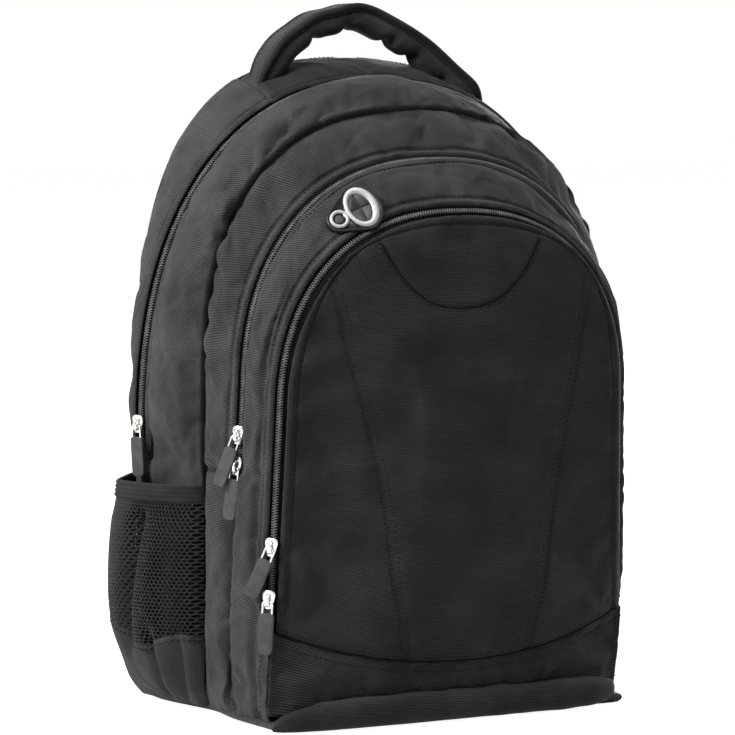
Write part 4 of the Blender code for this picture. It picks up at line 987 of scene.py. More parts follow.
def settle(drapes):
    """Lets cloth grids swell and wrinkle under pressure between their pinned edges, all at once."""
    scene = bpy.context.scene
    made = {name: drape_object(name, drape) for name, drape in drapes.items()}
    for frame in range(1, SETTLE_FRAMES + 1):
        scene.frame_set(frame)
    depsgraph = bpy.context.evaluated_depsgraph_get()
    settled = {}
    for name, sheet in made.items():
        drape = drapes[name]
        mesh = sheet.evaluated_get(depsgraph).to_mesh()
        points = np.empty(len(mesh.vertices) * 3)
        mesh.vertices.foreach_get("co", points)
        move = points.reshape(drape.grid.shape) - drape.grid
        size = np.linalg.norm(move, axis=-1, keepdims=True)
        move = move * np.minimum(1.0, drape.cap / np.maximum(size, 1e-9))
        settled[name] = drape.grid + move * drape.hold
    scene.frame_set(1)
    for sheet in made.values():
        bpy.data.objects.remove(sheet)
    return settled


def soften(grid, amount, scale, seed):
    """Small uneven dents, fading out at the grid's edges."""
    rows, columns = grid.shape[:2]
    i = np.minimum(np.arange(rows), np.arange(rows)[::-1])[:, None]
    j = np.minimum(np.arange(columns), np.arange(columns)[::-1])[None, :]
    fade = smooth(np.minimum(i, j) / 4.0)
    return grid + grid_normals(grid) * (amount * fade * noise_at(grid, scale, seed))[..., None]


def edge_distance(grid, from_start):
    """How far each point of a band is from one of its long edges."""
    rows = grid if from_start else grid[:, ::-1]
    steps = np.cumsum(np.linalg.norm(np.diff(rows, axis=1), axis=-1), axis=1)
    far = np.concatenate([np.zeros((len(rows), 1)), steps], axis=1)
    return far if from_start else far[:, ::-1]


def pucker(grid, from_start, amount, reach, pitch, seed, low):
    """Short ridged gathers across a band where it is sewn along one of its long edges, above a height."""
    far = edge_distance(grid, from_start)
    along, _ = grid_lengths(grid)
    spots = np.stack([along / pitch, np.full(along.shape, seed), far / (4.0 * reach)], axis=-1)
    waves = 2.2 * np.abs(noise_at(spots, 1.0, 0.0)) ** 0.8 - 0.6
    fade = far / reach * np.exp(1.0 - far / reach)
    patchy = smooth(0.5 + 1.4 * noise_at(grid, 18.0, seed + 4.0))
    rising = smooth((grid[..., 2] - low) / PUCKER_START) if low > 0.0 else 1.0
    return grid + grid_normals(grid) * (amount * fade * waves * patchy * rising)[..., None]


def crowd_edges(grid):
    """More points across a band near its long edges, for the folds there."""
    near = np.arange(0.0, CROWD_REACH, CROWD_STEP)
    rows = []
    for line, far in zip(grid, edge_distance(grid, True)):
        middle = np.linspace(CROWD_REACH, far[-1] - CROWD_REACH, CROWD_MIDDLE)
        rows.append(line_at(line, far, np.concatenate([near, middle, far[-1] - near[::-1]])))
    return np.array(rows)


def fold_profile(far, height):
    """A rounded fold along an edge, with its stitch line pressed in beside it."""
    fold = height * hump(far - FOLD_PLACE, FOLD_WIDTH)
    return fold - FOLD_GROOVE_DEPTH * hump(far - FOLD_GROOVE_PLACE, FOLD_GROOVE_WIDTH)


def roll_edge(grid, from_start, zip_end, height):
    """Turns the cloth beside a zipper over into a rounded fold."""
    beside = smooth((grid[..., 2] - zip_end) / ZIP_FADE)
    rise = fold_profile(edge_distance(grid, from_start), height)
    return grid + grid_normals(grid) * (rise * beside)[..., None]


def press_hold(z, press):
    """How fully a seam is drawn in at a height."""
    top = 1.0 if press.top is None else smooth((press.top - z) / PRESS_TOP_FADE)
    return smooth(z / PRESS_FOOT_FADE) * top


def painted_seam_shade(band, grid):
    """How much painted shade a band gets, from 0 to 1: down in its drawn seams, at its cut and on top of
    the bag.
    """
    shade = np.zeros(grid.shape[:2])
    for press in PRESSES:
        if press.band == band:
            near = smooth((PAINTED_SHADE_REACH - edge_distance(grid, press.from_start)) / PAINTED_SHADE_FADE)
            shade = np.maximum(shade, near * press_hold(grid[..., 2], press))
    # Painted shade along the middle gusset's cut
    if band == "middle_gusset":
        shade = np.maximum(shade, hump(grid[..., 2] - MIDDLE_CUT, CUT_PAINTED_SHADE))
    # Painted shade on the top panel between the two top seams
    if band == "rear_gusset":
        between = smooth((TOP_SEAM_X - np.abs(grid[..., 0])) / TOP_PAINTED_SHADE_FADE)
        shade = np.maximum(shade, TOP_PAINTED_SHADE * between * (grid[..., 2] > BACK.spring))
    return shade


def press_seam(grid, press):
    """Draws a band deep in along a seam, with a roll of cloth standing beside it."""
    far = edge_distance(grid, press.from_start)
    shares = np.linspace(BAND_FOOT, 1.0 - BAND_FOOT, len(grid))
    z = grid[..., 2]
    lowest = PRESS_ROLL_LOW if press.top is None else 0.0
    rolled = press.roll * smooth((z - lowest) / PRESS_ROLL_FADE) * (1.0 - slack_at(grid))
    rise = rolled * hump(far - PRESS_ROLL_PLACE, PRESS_ROLL_WIDTH)
    rise = rise - PRESS_DEPTH * hump(far, press.width)
    return grid + arch_outward(press.arch, shares)[:, None] * (rise * press_hold(z, press))[..., None]


def zip_hold(grid, band):
    """How freely a band's points may move: not at all beside a zipper."""
    hold = np.ones(grid.shape[:2])
    for from_start, end in ((True, band.rear_zip_end), (False, band.front_zip_end)):
        if end is not None:
            near = 1.0 - smooth(edge_distance(grid, from_start) / ZIP_HOLD)
            hold = hold * (1.0 - near * smooth((grid[..., 2] - end) / ZIP_FADE))
    if band.rear is CREASE:
        hold = hold * smooth(edge_distance(grid, True) / ZIP_HOLD)
    return hold[..., None]


def make_drapes():
    """Every cloth that settles: pinned places, pressure, spare cloth, stiffness, limit and freedom."""
    drapes = {}
    for name, band in BANDS.items():
        grid = band_grid(band)
        drapes[name] = Drape(grid, edge_pins(grid), *BAND_DRAPE, zip_hold(grid, band))
    panel = draw_in(front_panel_grid())
    drapes["front_panel"] = Drape(panel, edge_pins(panel), *PANEL_DRAPE, 1.0)
    strip = draw_in(front_strip_grid())
    drapes["front_strip"] = Drape(strip, edge_pins(strip), *STRIP_DRAPE, 1.0)
    for name, ends in PADS.items():
        pad = pad_grid(*ends)
        drapes[name] = Drape(pad, edge_pins(pad), *PAD_DRAPE, 1.0)
    return drapes


# Zippers

Zip = namedtuple("Zip", "arch end rear_arch front_arch bodies")
ZIPS = {
    "main_zip": Zip(MAIN_ZIP, MAIN_ZIP_END, BACK, CREASE, ("rear_body", "middle_section")),
    "middle_zip": Zip(MIDDLE_ZIP, MIDDLE_ZIP_END, CREASE, FRONT_ZIP, ("middle_section", "front_pocket")),
    "front_zip": Zip(FRONT_ZIP, FRONT_ZIP_END, MIDDLE_ZIP, None, ("front_pocket", "front_flap")),
}


def chain_shares(chain, count):
    """Even shares of the arch from one end of the zipper to the other."""
    end = share_at_height(chain.arch, chain.end)
    return np.linspace(end, 1.0 - end, count)


def teeth_arrays(chain, side):
    """One row of coil teeth: side 1 is the front row, -1 the rear one."""
    length = line_lengths(arch_curve(chain.arch, chain_shares(chain, 400)))[-1]
    shares = chain_shares(chain, 2 * int(length / TOOTH_PITCH))[0 if side > 0 else 1::2]
    points, along, outward, forward = chain_frame(chain.arch, shares)
    points = points - outward * CHAIN_SINK
    stations = []
    for reach, size, lift in TOOTH_STATIONS:
        centre = points + forward * (side * reach) + outward * lift + along * (reach * TOOTH_LEAN)
        stations.append((centre, TOOTH_RADIUS * size))
    return station_arrays(stations, along, outward, True)


def grid_tree(grid):
    """A grid as a tree that rays can be cast on."""
    faces = grid_faces(*grid.shape[:2]).tolist()
    return BVHTree.FromPolygons([tuple(v) for v in grid.reshape(-1, 3)], faces)


def panel_inside(panel, points):
    """The y of the front panel's inner side at each point."""
    tree = grid_tree(panel)
    y = []
    for x, _, z in points:
        spot = tree.ray_cast(Vector((x, -1.0, z)), Vector(Y_AXIS))[0]
        y.append(front_y(z) if spot is None else spot.y + CLOTH_THICKNESS)
    return np.array(y)


def tape_grid(chain, side, panel):
    """The woven tape that carries one row of teeth, lying on the cloth beside it or reaching the panel."""
    shares = chain_shares(chain, TAPE_COLUMNS)
    points, _, outward, _ = chain_frame(chain.arch, shares)
    beside = chain.front_arch if side > 0 else chain.rear_arch
    if beside is None:
        inner = points - arch_outward(chain.arch, shares) * TAPE_REACH
        inner[:, 1] = panel_inside(panel, inner)
        across = unit(inner - points)
        width = np.linalg.norm(inner - points, axis=-1)
    else:
        across = unit(arch_curve(beside, shares) - points)
        width = np.full(len(points), TAPE_REACH)
    reach = TAPE_START + (width[:, None] - TAPE_START) * np.linspace(0.0, 1.0, TAPE_ROWS)
    grid = points[:, None] + across[:, None] * reach[..., None]
    return grid - outward[:, None] * (CHAIN_SINK + TAPE_SINK)


def make_zip(name, panel, finishes):
    """Both halves of a zipper, each a tape with a row of teeth."""
    chain = ZIPS[name]
    halves = []
    for word, side in (("rear", -1), ("front", 1)):
        grid = tape_grid(chain, side, panel)
        tape = cloth_object(name + "_tape_" + word + "_cloth", grid if side > 0 else grid[:, ::-1],
                            TAPE_THICKNESS, finishes["tape"])
        teeth = add_object(name + "_teeth_" + word, *teeth_arrays(chain, side), finishes["teeth"])
        halves.append((tape, teeth))
    return halves


# Sewing

def row_at(grid, distance, from_start):
    """The line of a grid at a distance from one of its long edges, with its normals."""
    rows = grid if from_start else grid[:, ::-1]
    lengths = edge_distance(rows, True)
    line = np.array([line_at(row, far, distance) for row, far in zip(rows, lengths)])
    return line, grid_normals(grid)[:, 2 if from_start else -3]


def border_line(grid, inset):
    """The line up the left side of a patch, along its top and down its right side, with its normals."""
    normals = grid_normals(grid)
    lines = []
    for points in (grid, normals):
        lines.append(np.concatenate([points[inset, :-1 - inset], points[inset:-1 - inset, -1 - inset],
                                     points[-1 - inset, :points.shape[1] - inset][::-1]]))
    return lines[0], lines[1]


def seam_object(name, lines, finish):
    """Rows of stitches as one object."""
    verts, faces = join_arrays([stitch_arrays(points, normals) for points, normals in lines])
    return add_object(name, verts, faces, finish)


def groove(grid, distance, width, depth):
    """Presses a seam into a grid where distance, given at each point, is near zero."""
    return grid - grid_normals(grid) * (depth * hump(distance, width))[..., None]


# Handle

def spline(points, count):
    """A smooth line through points, as evenly spaced points."""
    points = np.asarray(points, float)
    padded = np.concatenate([2.0 * points[:1] - points[1:2], points, 2.0 * points[-1:] - points[-2:-1]])
    t = np.linspace(0.0, 1.0, 24, endpoint=False)[:, None]
    pieces = []
    for a, b, c, d in zip(padded[:-3], padded[1:-2], padded[2:-1], padded[3:]):
        pieces.append(0.5 * (2.0 * b + (c - a) * t + (2.0 * a - 5.0 * b + 4.0 * c - d) * t ** 2
                             + (3.0 * b - a - 3.0 * c + d) * t ** 3))
    dense = np.concatenate(pieces + [points[-1:]])
    lengths = line_lengths(dense)
    return line_at(dense, lengths, np.linspace(0.0, lengths[-1], count))


def ribbon_loops(path, across, sections):
    """Closed loops along a path: each section lists pairs across and up from the path."""
    along = unit(np.gradient(path, axis=0))
    side = unit(across - along * np.sum(across * along, axis=-1, keepdims=True))
    up = np.cross(side, along)
    return [path[k] + sections[k][:, :1] * side[k] + sections[k][:, 1:] * up[k] for k in range(len(path))]


def loft_object(name, loops, finish):
    """A closed object through loops, with distances along and around it for the weave."""
    loops = np.asarray(loops)
    verts, faces = loft_arrays(loops)
    u = line_lengths(loops.mean(axis=1))
    girth = np.linalg.norm(np.diff(loops, axis=1), axis=-1).mean(axis=0)
    v = np.concatenate([[0.0], np.cumsum(girth)])
    v = np.minimum(v, v[-1] + girth[0] - v)
    weave = np.stack(np.broadcast_arrays(u[:, None], v[None, :]), axis=-1).reshape(-1, 2)
    return add_object(name, verts, faces, finish, weave)


def handle_line(grow):
    """The middle line of the handle from its left foot to its right one, grown outwards."""
    flat = spline(HANDLE_LINE, HANDLE_STEPS)
    along = unit(np.gradient(flat, axis=0))
    outward = np.stack([-along[:, 1], along[:, 0]], axis=-1)
    flat = flat + outward * np.asarray(grow).reshape(-1, 1)
    return np.stack([flat[:, 0], np.full(len(flat), HANDLE_AXIS[0]), flat[:, 1]], axis=-1)


def grip_sections(path, thickness, narrow, taper):
    """Cross-sections of the handle's grip, drawn in underneath where its cloth is gathered."""
    pinch = sum(hump(path[:, 0] - x, PINCH_WIDTH) for x in HANDLE_PINCHES)
    sections = []
    for k in range(len(path)):
        loop = superloop(HANDLE_WIDTH * narrow[k], thickness[k], 2.6, 32)
        under = loop[:, 1] > 0.0
        loop[under, 1] *= 1.0 + taper[k] * (GRIP_FULL - PINCH_DEPTH * pinch[k])
        loop[under, 0] *= 1.0 - PINCH_NARROW * pinch[k]
        sections.append(loop)
    return sections


def build_handle(finishes):
    """The padded grip with gathered cloth under it, and the webbing bound over its outside."""
    path = handle_line(np.zeros(HANDLE_STEPS))
    share = np.linspace(0.0, 1.0, len(path))
    taper = smooth(np.minimum(share, 1.0 - share) / 0.12)
    narrow = 1.0 - HANDLE_FOOT_NARROW * (1.0 - taper)
    path[:, 1] += HANDLE_WIDTH / 2.0 * (1.0 - narrow)
    thickness = HANDLE_FOOT_THICKNESS + (HANDLE_THICKNESS - HANDLE_FOOT_THICKNESS) * taper
    loops = ribbon_loops(path, Y_AXIS, grip_sections(path, thickness, narrow, taper))
    grip = loft_object("handle_grip_cloth", loops, finishes["cloth"])
    lift = thickness / 2.0
    outside = handle_line(lift + BINDING_LIFT)
    outside[:, 1] = path[:, 1]
    sections = [superloop(HANDLE_WIDTH * n - BINDING_INSET, BINDING_THICKNESS, 4.0, 16) for n in narrow]
    webbing = ribbon_loops(outside, Y_AXIS, sections)
    binding = loft_object("handle_binding_webbing", webbing, finishes["binding"])
    pieces, rows = [], []
    for side in (-1.0, 1.0):
        edge, row = handle_line(lift - 0.0004), handle_line(lift + 0.0022)
        edge[:, 1] = path[:, 1] + side * (HANDLE_WIDTH / 2.0 * narrow - 0.0012)
        row[:, 1] = path[:, 1] + side * (HANDLE_WIDTH / 2.0 * narrow - 0.0062)
        pieces.append(tube_arrays(edge, HANDLE_PIPING, 10))
        rows.append((row, unit(row - path)))
    piping = add_object("handle_piping", *join_arrays(pieces), finishes["binding"])
    seam = seam_object("handle_stitching", rows, finishes["thread"])
    for made in (grip, binding, piping, seam):
        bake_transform(made)
    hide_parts("handle_grip")
    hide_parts("handle_binding")


# Sliders and pull tabs, modelled with X across the chain, Y outwards and Z along it

Slider = namedtuple("Slider", "arch z rise yaw lean")
FRONT_RISE = 0.0026
SLIDERS = {
    "main": Slider(MAIN_ZIP, 0.2065, 0.0018, 4.0, 2.0),
    "middle": Slider(MIDDLE_ZIP, 0.206, 0.0018, -16.0, 7.0),
    "middle_lower": Slider(MIDDLE_ZIP, 0.184, 0.0018, -4.0, 0.0),
    "front": Slider(FRONT_ZIP, 0.131, FRONT_RISE, -20.0, 0.0),
    "front_lower": Slider(FRONT_ZIP, 0.094, FRONT_RISE, 0.0, 0.0),
}
SLIDER_LENGTH = 0.013
PULL_PIVOT = Vector((0.0, 0.0040, -0.00135))
WIRE_RADIUS = 0.0007
LOOP_HALF_WIDTH = 0.0034
LOOP_LENGTH = 0.008
TAG_WIDTH = 0.0105
TAG_LENGTH = 0.029
TAG_THICKNESS = 0.0027


def slider_matrix(slider):
    """The place of a slider on the left side of its chain."""
    arch = slider.arch

    def side(z):
        return Vector((-arch_half(arch, z), arch_y(arch, z), z))
    along = (side(slider.z + SLIDER_LENGTH) - side(slider.z)).normalized()
    angle = math.radians(CHAIN_FACING[arch][1])
    outward = Vector((-math.cos(angle), -math.sin(angle), 0.0))
    outward = (outward - along * outward.dot(along)).normalized()
    turn = Matrix((outward.cross(along), outward, along)).transposed().to_4x4()
    return Matrix.Translation(side(slider.z) + outward * slider.rise) @ turn


def place_arrays(arrays, matrix):
    """Points and faces moved by a matrix."""
    verts, faces = arrays
    grown = np.concatenate([verts, np.ones((len(verts), 1))], axis=1)
    return grown @ np.array(matrix).T[:, :3], faces


def rounded_plate(stations, low, high, squareness=3.2, sides=20):
    """A plate along Z through stations of z and half width, with rounded edges."""
    loops = []
    for z, half in stations:
        loop = superloop(2.0 * half, high - low, squareness, sides)
        middle = (low + high) / 2.0
        loops.append(np.stack([loop[:, 0], middle + loop[:, 1], np.full(sides, z)], axis=-1))
    return loft_arrays(loops)


def slider_arrays():
    """A slider's upper plate and the bail for the pull tab."""
    outline = ((-0.0065, 0.0016), (-0.0063, 0.0024), (-0.0040, 0.0030), (-0.0010, 0.0038),
               (0.0022, 0.0046), (0.0046, 0.0046), (0.0060, 0.0034), (0.0065, 0.0020))
    top = rounded_plate(outline, 0.0005, 0.0027)
    bail = spline([(0.0, 0.0016, -0.0038), (0.0, 0.0042, -0.0040), (0.0, 0.0058, -0.0022),
                   (0.0, 0.0060, 0.0010), (0.0, 0.0046, 0.0036), (0.0, 0.0016, 0.0040)], 25)
    arm = loft_arrays(ribbon_loops(bail, X_AXIS, [superloop(0.0030, 0.0013, 2.6, 12)] * len(bail)))
    return join_arrays([top, arm])


def pull_wire_arrays():
    """The wire loop that joins the tab to the bail."""
    legs, foot = LOOP_HALF_WIDTH, -LOOP_LENGTH - 0.0030
    path = spline([(-legs, 0.0, foot), (-legs, 0.0, -0.0040), (-legs, 0.0, -0.0010),
                   (-legs + 0.0010, 0.0, 0.0), (legs - 0.0010, 0.0, 0.0), (legs, 0.0, -0.0010),
                   (legs, 0.0, -0.0040), (legs, 0.0, foot)], 41)
    return tube_arrays(path, WIRE_RADIUS, 10)


def pull_tag_arrays():
    """The rubber tab, with rounded corners and a soft edge."""
    half = TAG_WIDTH / 2.0
    stations = []
    for share, width in ((0.0, 0.62), (0.012, 0.80), (0.04, 0.93), (0.09, 1.0), (0.5, 1.0), (0.84, 1.0),
                         (0.92, 0.95), (0.965, 0.84), (0.99, 0.66), (1.0, 0.50)):
        stations.append((-LOOP_LENGTH - TAG_LENGTH * share, half * width))
    return rounded_plate(stations[::-1], -TAG_THICKNESS / 2.0, TAG_THICKNESS / 2.0, 5.0, 28)


def build_sliders(finishes):
    """The five sliders, each with its wire loop and bare rubber tab."""
    for word, spot in SLIDERS.items():
        matrix = slider_matrix(spot)
        hang = (Matrix.Translation(matrix @ PULL_PIVOT) @ matrix.to_3x3().to_4x4()
                @ Matrix.Rotation(math.radians(spot.lean), 4, "X")
                @ Matrix.Rotation(math.radians(spot.yaw), 4, "Y"))
        slider, pull = "slider_" + word, "pull_" + word
        for name, arrays, place, finish, body, nodes in (
                (slider + "_body", slider_arrays(), matrix, "nickel", "_slider", (slider,)),
                (pull + "_wire", pull_wire_arrays(), hang, "nickel", "_pull", ()),
                (pull + "_tab", pull_tag_arrays(), hang, "rubber", "_pull", (pull,))):
            made = add_object(name, *place_arrays(arrays, place), finishes[finish])
            show(made, word + body, nodes)


# Earphone port

PORT_TURN = 61.0
PORT_SHARE = 0.62
PORT_RING = (0.0046, 0.0, 0.0120, 0.0164)
PORT_HOLE = (0.0036, 0.0, 0.0074, 0.0114)
PORT_SMALL = (-0.0138, 0.0004, 0.0072, 0.0072)
PORT_BUTTON = (-0.0138, 0.0004, 0.0043, 0.0043)
PORT_RIM = 0.0022
PORT_LEAN = 7.0
PORT_REACH = 0.017
PORT_POINTS = 72
RING_POINTS = 64
PETAL_LAP = 0.0004
PETAL_GAP = 0.0005


def arch_turn_point(arch, turn):
    """A point on the left of an arch's round top."""
    power = 2.0 / arch.squareness
    angle = math.radians(turn)
    z = arch.spring + (arch.crown - arch.spring) * math.sin(angle) ** power
    return np.array([-arch.shoulder * math.cos(angle) ** power, arch_y(arch, z), z])


def port_oval(oval, count, grow=0.0):
    """An oval of the port as pairs along and across, leaning with its long side."""
    along, across, half_along, half_across = oval
    angles = full_turn(count)
    u, v = (half_along + grow) * np.cos(angles), (half_across + grow) * np.sin(angles)
    lean = math.radians(PORT_LEAN)
    return np.stack([along + u * math.cos(lean) + v * math.sin(lean),
                     across - u * math.sin(lean) + v * math.cos(lean)], axis=-1)


def port_outline():
    """The rounded three-sided outline round both rings."""
    both = np.concatenate([port_oval(PORT_RING, 200, PORT_RIM), port_oval(PORT_SMALL, 200, PORT_RIM)])
    angles = np.linspace(0.0, 2.0 * math.pi, 400)
    facing = np.stack([np.cos(angles), np.sin(angles)], axis=-1)
    hull = both[np.argmax(facing @ both.T, axis=1)]
    lengths = line_lengths(hull)
    return line_at(hull, lengths, np.linspace(0.0, lengths[-1], PORT_POINTS, endpoint=False))


def port_ring_loops(outer, inner, low, high):
    """A flat ring with a rounded top between two ovals, as loops across it."""
    rings = []
    for share, rise in ((0.0, 0.0), (0.0, 0.5), (0.08, 0.80), (0.25, 1.0), (0.75, 1.0), (0.92, 0.80),
                        (1.0, 0.5), (1.0, 0.0)):
        flat = port_oval(outer, RING_POINTS) * (1.0 - share) + port_oval(inner, RING_POINTS) * share
        rings.append(raised(flat, low + (high - low) * rise))
    return np.array(rings)


def closed_ring_arrays(rings):
    """Faces around a ring whose loops close on themselves both ways."""
    steps, count = rings.shape[:2]
    faces = []
    for r in range(steps):
        for k in range(count):
            after, over = (k + 1) % count, (r + 1) % steps
            faces.append((r * count + k, r * count + after, over * count + after, over * count + k))
    return rings.reshape(-1, 3), faces


def port_base_arrays():
    """The rubber base: a raised rim around sunken fields."""
    outline = port_outline()
    middle = outline.mean(axis=0)
    loops = []
    for scale, lift in ((1.0, -0.0040), (1.0, 0.0010), (0.985, 0.0018), (0.95, 0.0022), (0.915, 0.0021),
                        (0.895, 0.0012), (0.5, 0.0012)):
        loops.append(raised(middle + (outline - middle) * scale, lift))
    return loft_arrays(loops)


def raised(flat, height):
    """Pairs as points at a height."""
    return np.concatenate([flat, np.full((len(flat), 1), height)], axis=1)


def port_petal_arrays(quarter):
    """A quarter of the slit membrane."""
    lean = math.radians(PORT_LEAN)
    turn = np.array([[math.cos(lean), -math.sin(lean)], [math.sin(lean), math.cos(lean)]])
    angles = np.linspace(0.0, math.pi / 2.0, 12)
    half_along, half_across = PORT_HOLE[2] + PETAL_LAP, PORT_HOLE[3] + PETAL_LAP
    rim = np.stack([half_along * np.cos(angles), half_across * np.sin(angles)], axis=-1)
    signs = np.array(((1, 1), (-1, 1), (-1, -1), (1, -1)))[quarter]
    loops = []
    for scale, lift in ((1.0, 0.0010), (1.0, 0.0018), (0.93, 0.0021)):
        flat = np.concatenate([[[0.0, 0.0]], rim * scale])
        flat = (np.maximum(flat, PETAL_GAP * (2.0 - scale)) * signs) @ turn + np.array(PORT_HOLE[:2])
        loops.append(raised(flat, lift))
    return loft_arrays(loops)


def port_matrix(gusset):
    """The port's place on the settled front gusset, with X along the arch and Z outwards."""
    rear, front = arch_turn_point(MIDDLE_ZIP, PORT_TURN), arch_turn_point(FRONT_ZIP, PORT_TURN)
    spot = rear * (1.0 - PORT_SHARE) + front * PORT_SHARE
    far = np.linalg.norm(gusset - spot, axis=-1)
    i, j = np.unravel_index(np.argmin(far), far.shape)
    near = far < PORT_REACH
    outward = unit(grid_normals(gusset)[near].mean(axis=0))
    along = unit(gusset[i + 6, j] - gusset[i - 6, j])
    along = unit(along - outward * np.dot(along, outward))
    across = np.cross(outward, along)
    lift = np.max((gusset[near] - gusset[i, j]) @ outward)
    place = gusset[i, j] + outward * (lift - 0.0004)
    return Matrix(np.column_stack([along, across, outward, place]).tolist() + [[0.0, 0.0, 0.0, 1.0]])


def disc_arrays(middle, stations, stretch=1.0):
    """A turned piece of the port: each station has its radius and height, stretched across the port."""
    angles = full_turn(24)
    loops = []
    for radius, lift in stations:
        along, across = radius * np.cos(angles), radius * stretch * np.sin(angles)
        loops.append(raised(np.stack([middle[0] + along, middle[1] + across], axis=-1), lift))
    return loft_arrays(loops)


def build_port(gusset, finishes):
    """The rubber base, the metal figure with its two rings, and the slit membrane."""
    matrix = port_matrix(gusset)
    big = closed_ring_arrays(port_ring_loops(PORT_RING, PORT_HOLE, 0.0008, 0.0031))
    small = closed_ring_arrays(port_ring_loops(PORT_SMALL, PORT_BUTTON, 0.0008, 0.0031))
    waist = disc_arrays((-0.0072, 0.0), ((0.0032, 0.0008), (0.0032, 0.0024), (0.00256, 0.0029)), 1.125)
    petals = [port_petal_arrays(k) for k in range(4)]
    button = disc_arrays(PORT_BUTTON[:2], ((0.0042, 0.0008), (0.0042, 0.0012), (0.0034, 0.0012),
                                           (0.0032, 0.0019), (0.0016, 0.0020)))
    for name, arrays, finish, node, slot in (
            ("port_base_rubber", port_base_arrays(), "plastic", "port_base", "rubber"),
            ("port_ring_metal", join_arrays([big, small, waist]), "satin", "port_ring", "nickel"),
            ("port_membrane_rubber", join_arrays(petals + [button]), "rubber", "port_membrane", "rubber")):
        made = add_object(name, *place_arrays(arrays, matrix), finishes[finish])
        show(made, "front_pocket", (node,))


# Side pockets

def pocket_points(side, z, share, proud=0.0):
    """Points of a side pocket at heights and shares from its rear edge to its front one."""
    z, share = np.broadcast_arrays(np.asarray(z, float), np.asarray(share, float))
    halves, depths = [], []
    for arch in (BACK, MAIN_ZIP, CREASE):
        halves.append(arch_half(arch, z) - tuck_in(z))
        depths.append(arch_y(arch, z))
    behind = np.clip(share / REAR_SHARE, 0.0, 1.0)
    ahead = np.clip((share - REAR_SHARE) / (1.0 - REAR_SHARE), 0.0, 1.0)
    half, y = [np.where(share < REAR_SHARE, rear + (middle - rear) * behind,
                        middle + (front - middle) * ahead) for rear, middle, front in (halves, depths)]
    up = BELLY_FALL_UP * (np.clip(z - BELLY_HEIGHT, 0.0, None) / (POCKET_TOP - BELLY_HEIGHT)) ** 2
    down = BELLY_FALL_DOWN * (np.clip(BELLY_HEIGHT - z, 0.0, None) / BELLY_HEIGHT) ** 2
    belly = np.maximum(POCKET_BELLY - up - down, 0.0)
    inside = np.clip((share - POCKET_EDGE_SHARE) / POCKET_SPAN, 0.0, 1.0)
    sewn = POCKET_SEWN * smooth((share - 0.965) / 0.03)
    offset = POCKET_STAND - sewn + belly * np.sin(math.pi * inside) ** 0.6 + proud
    return np.stack([side * (half + offset), y, z], axis=-1)


def mesh_foot(share):
    """The wavy line where the pocket's mesh meets its plain foot."""
    rear = MESH_FOOT_REAR - MESH_FOOT_DROP * smooth(share / 0.62)
    return rear + MESH_FOOT_RISE * smooth((share - 0.66) / 0.25)


def pocket_folds(z, share):
    """How far the pocket's cloth stands out or in: full columns beside a slanting fold, and tucks."""
    fold = 0.46 + 0.16 * np.clip((z - 0.040) / 0.110, 0.0, 1.0)
    window = smooth((z - MESH_LOW) / 0.030) * smooth((POCKET_TOP - BAND_HEIGHT - z) / 0.020)
    low = smooth((0.070 - z) / 0.030) * smooth(z / 0.020)
    folds = sum(height * hump(share - fold - place, width) for height, place, width in POCKET_FOLDS)
    tucks = sum(height * hump(share - place - lean * z, width)
                for height, place, lean, width in POCKET_TUCKS)
    return window * folds + low * tucks


def level(height):
    """A line at one height along a pocket or a panel."""
    return lambda share: np.full_like(share, height)


def pocket_grid(side, low, high, columns, rows, proud):
    """Points of part of a pocket, so that its outside faces out: along it, and up from low to high."""
    share = np.linspace(POCKET_EDGE_SHARE, 1.0 - POCKET_FRONT_SHARE, columns)[:, None]
    t = np.linspace(0.0, 1.0, rows)[None, :]
    z = low(share) + (high(share) - low(share)) * t
    grid = pocket_points(side, z, share, pocket_folds(z, share) + proud)
    return grid[::-1] if side < 0 else grid


def pocket_mesh_arrays(side):
    """The knitted mesh: staggered six-sided cells, each with a real hole."""
    columns = int(MESH_WIDTH / MESH_PITCH)
    rows = int((POCKET_TOP - BAND_HEIGHT + 0.002 - MESH_LOW) / MESH_ROW)
    angles = full_turn(6) + math.pi / 6.0
    verts, faces, known = [], [], {}

    def point_at(u, z):
        key = (round(u * 4e4), round(z * 4e4))
        if key not in known:
            known[key] = len(verts)
            verts.append((u, z))
        return known[key]
    reach_u, reach_z = MESH_PITCH / math.sqrt(3.0) / math.cos(math.pi / 6.0) * 0.866, MESH_ROW / 1.5
    for r in range(rows + 1):
        for c in range(columns + 1):
            u = (c + 0.5 * (r % 2)) * MESH_PITCH / MESH_WIDTH
            z = MESH_LOW + r * MESH_ROW
            share = POCKET_EDGE_SHARE + POCKET_SPAN * u
            if u > 1.0 or z < mesh_foot(share) - 0.004:
                continue
            open_share = float(smooth((share - HOLE_START) / HOLE_FADE))
            hole = MESH_HOLE_REAR + (MESH_HOLE - MESH_HOLE_REAR) * open_share
            outer, inner = [], []
            for a in angles:
                step_u, step_z = reach_u / MESH_WIDTH * math.cos(a), reach_z * math.sin(a)
                outer.append(point_at(u + step_u, z + step_z))
                inner.append(point_at(u + hole * step_u, z + hole * step_z))
            for k in range(6):
                after = (k + 1) % 6
                faces.append((outer[k], outer[after], inner[after], inner[k]))
    flat = np.array(verts)
    share = POCKET_EDGE_SHARE + POCKET_SPAN * np.clip(flat[:, 0], 0.0, 1.0)
    z = np.minimum(flat[:, 1], POCKET_TOP - 0.004)
    points = pocket_points(side, z, share, pocket_folds(z, share))
    return points, faces, np.stack([flat[:, 0] * MESH_WIDTH, z], axis=-1)


def apply_modifiers(obj):
    """Makes the modifiers' result the object's own mesh."""
    depsgraph = bpy.context.evaluated_depsgraph_get()
    mesh = bpy.data.meshes.new_from_object(obj.evaluated_get(depsgraph))
    old = obj.data
    obj.modifiers.clear()
    obj.data = mesh
    bpy.data.meshes.remove(old)


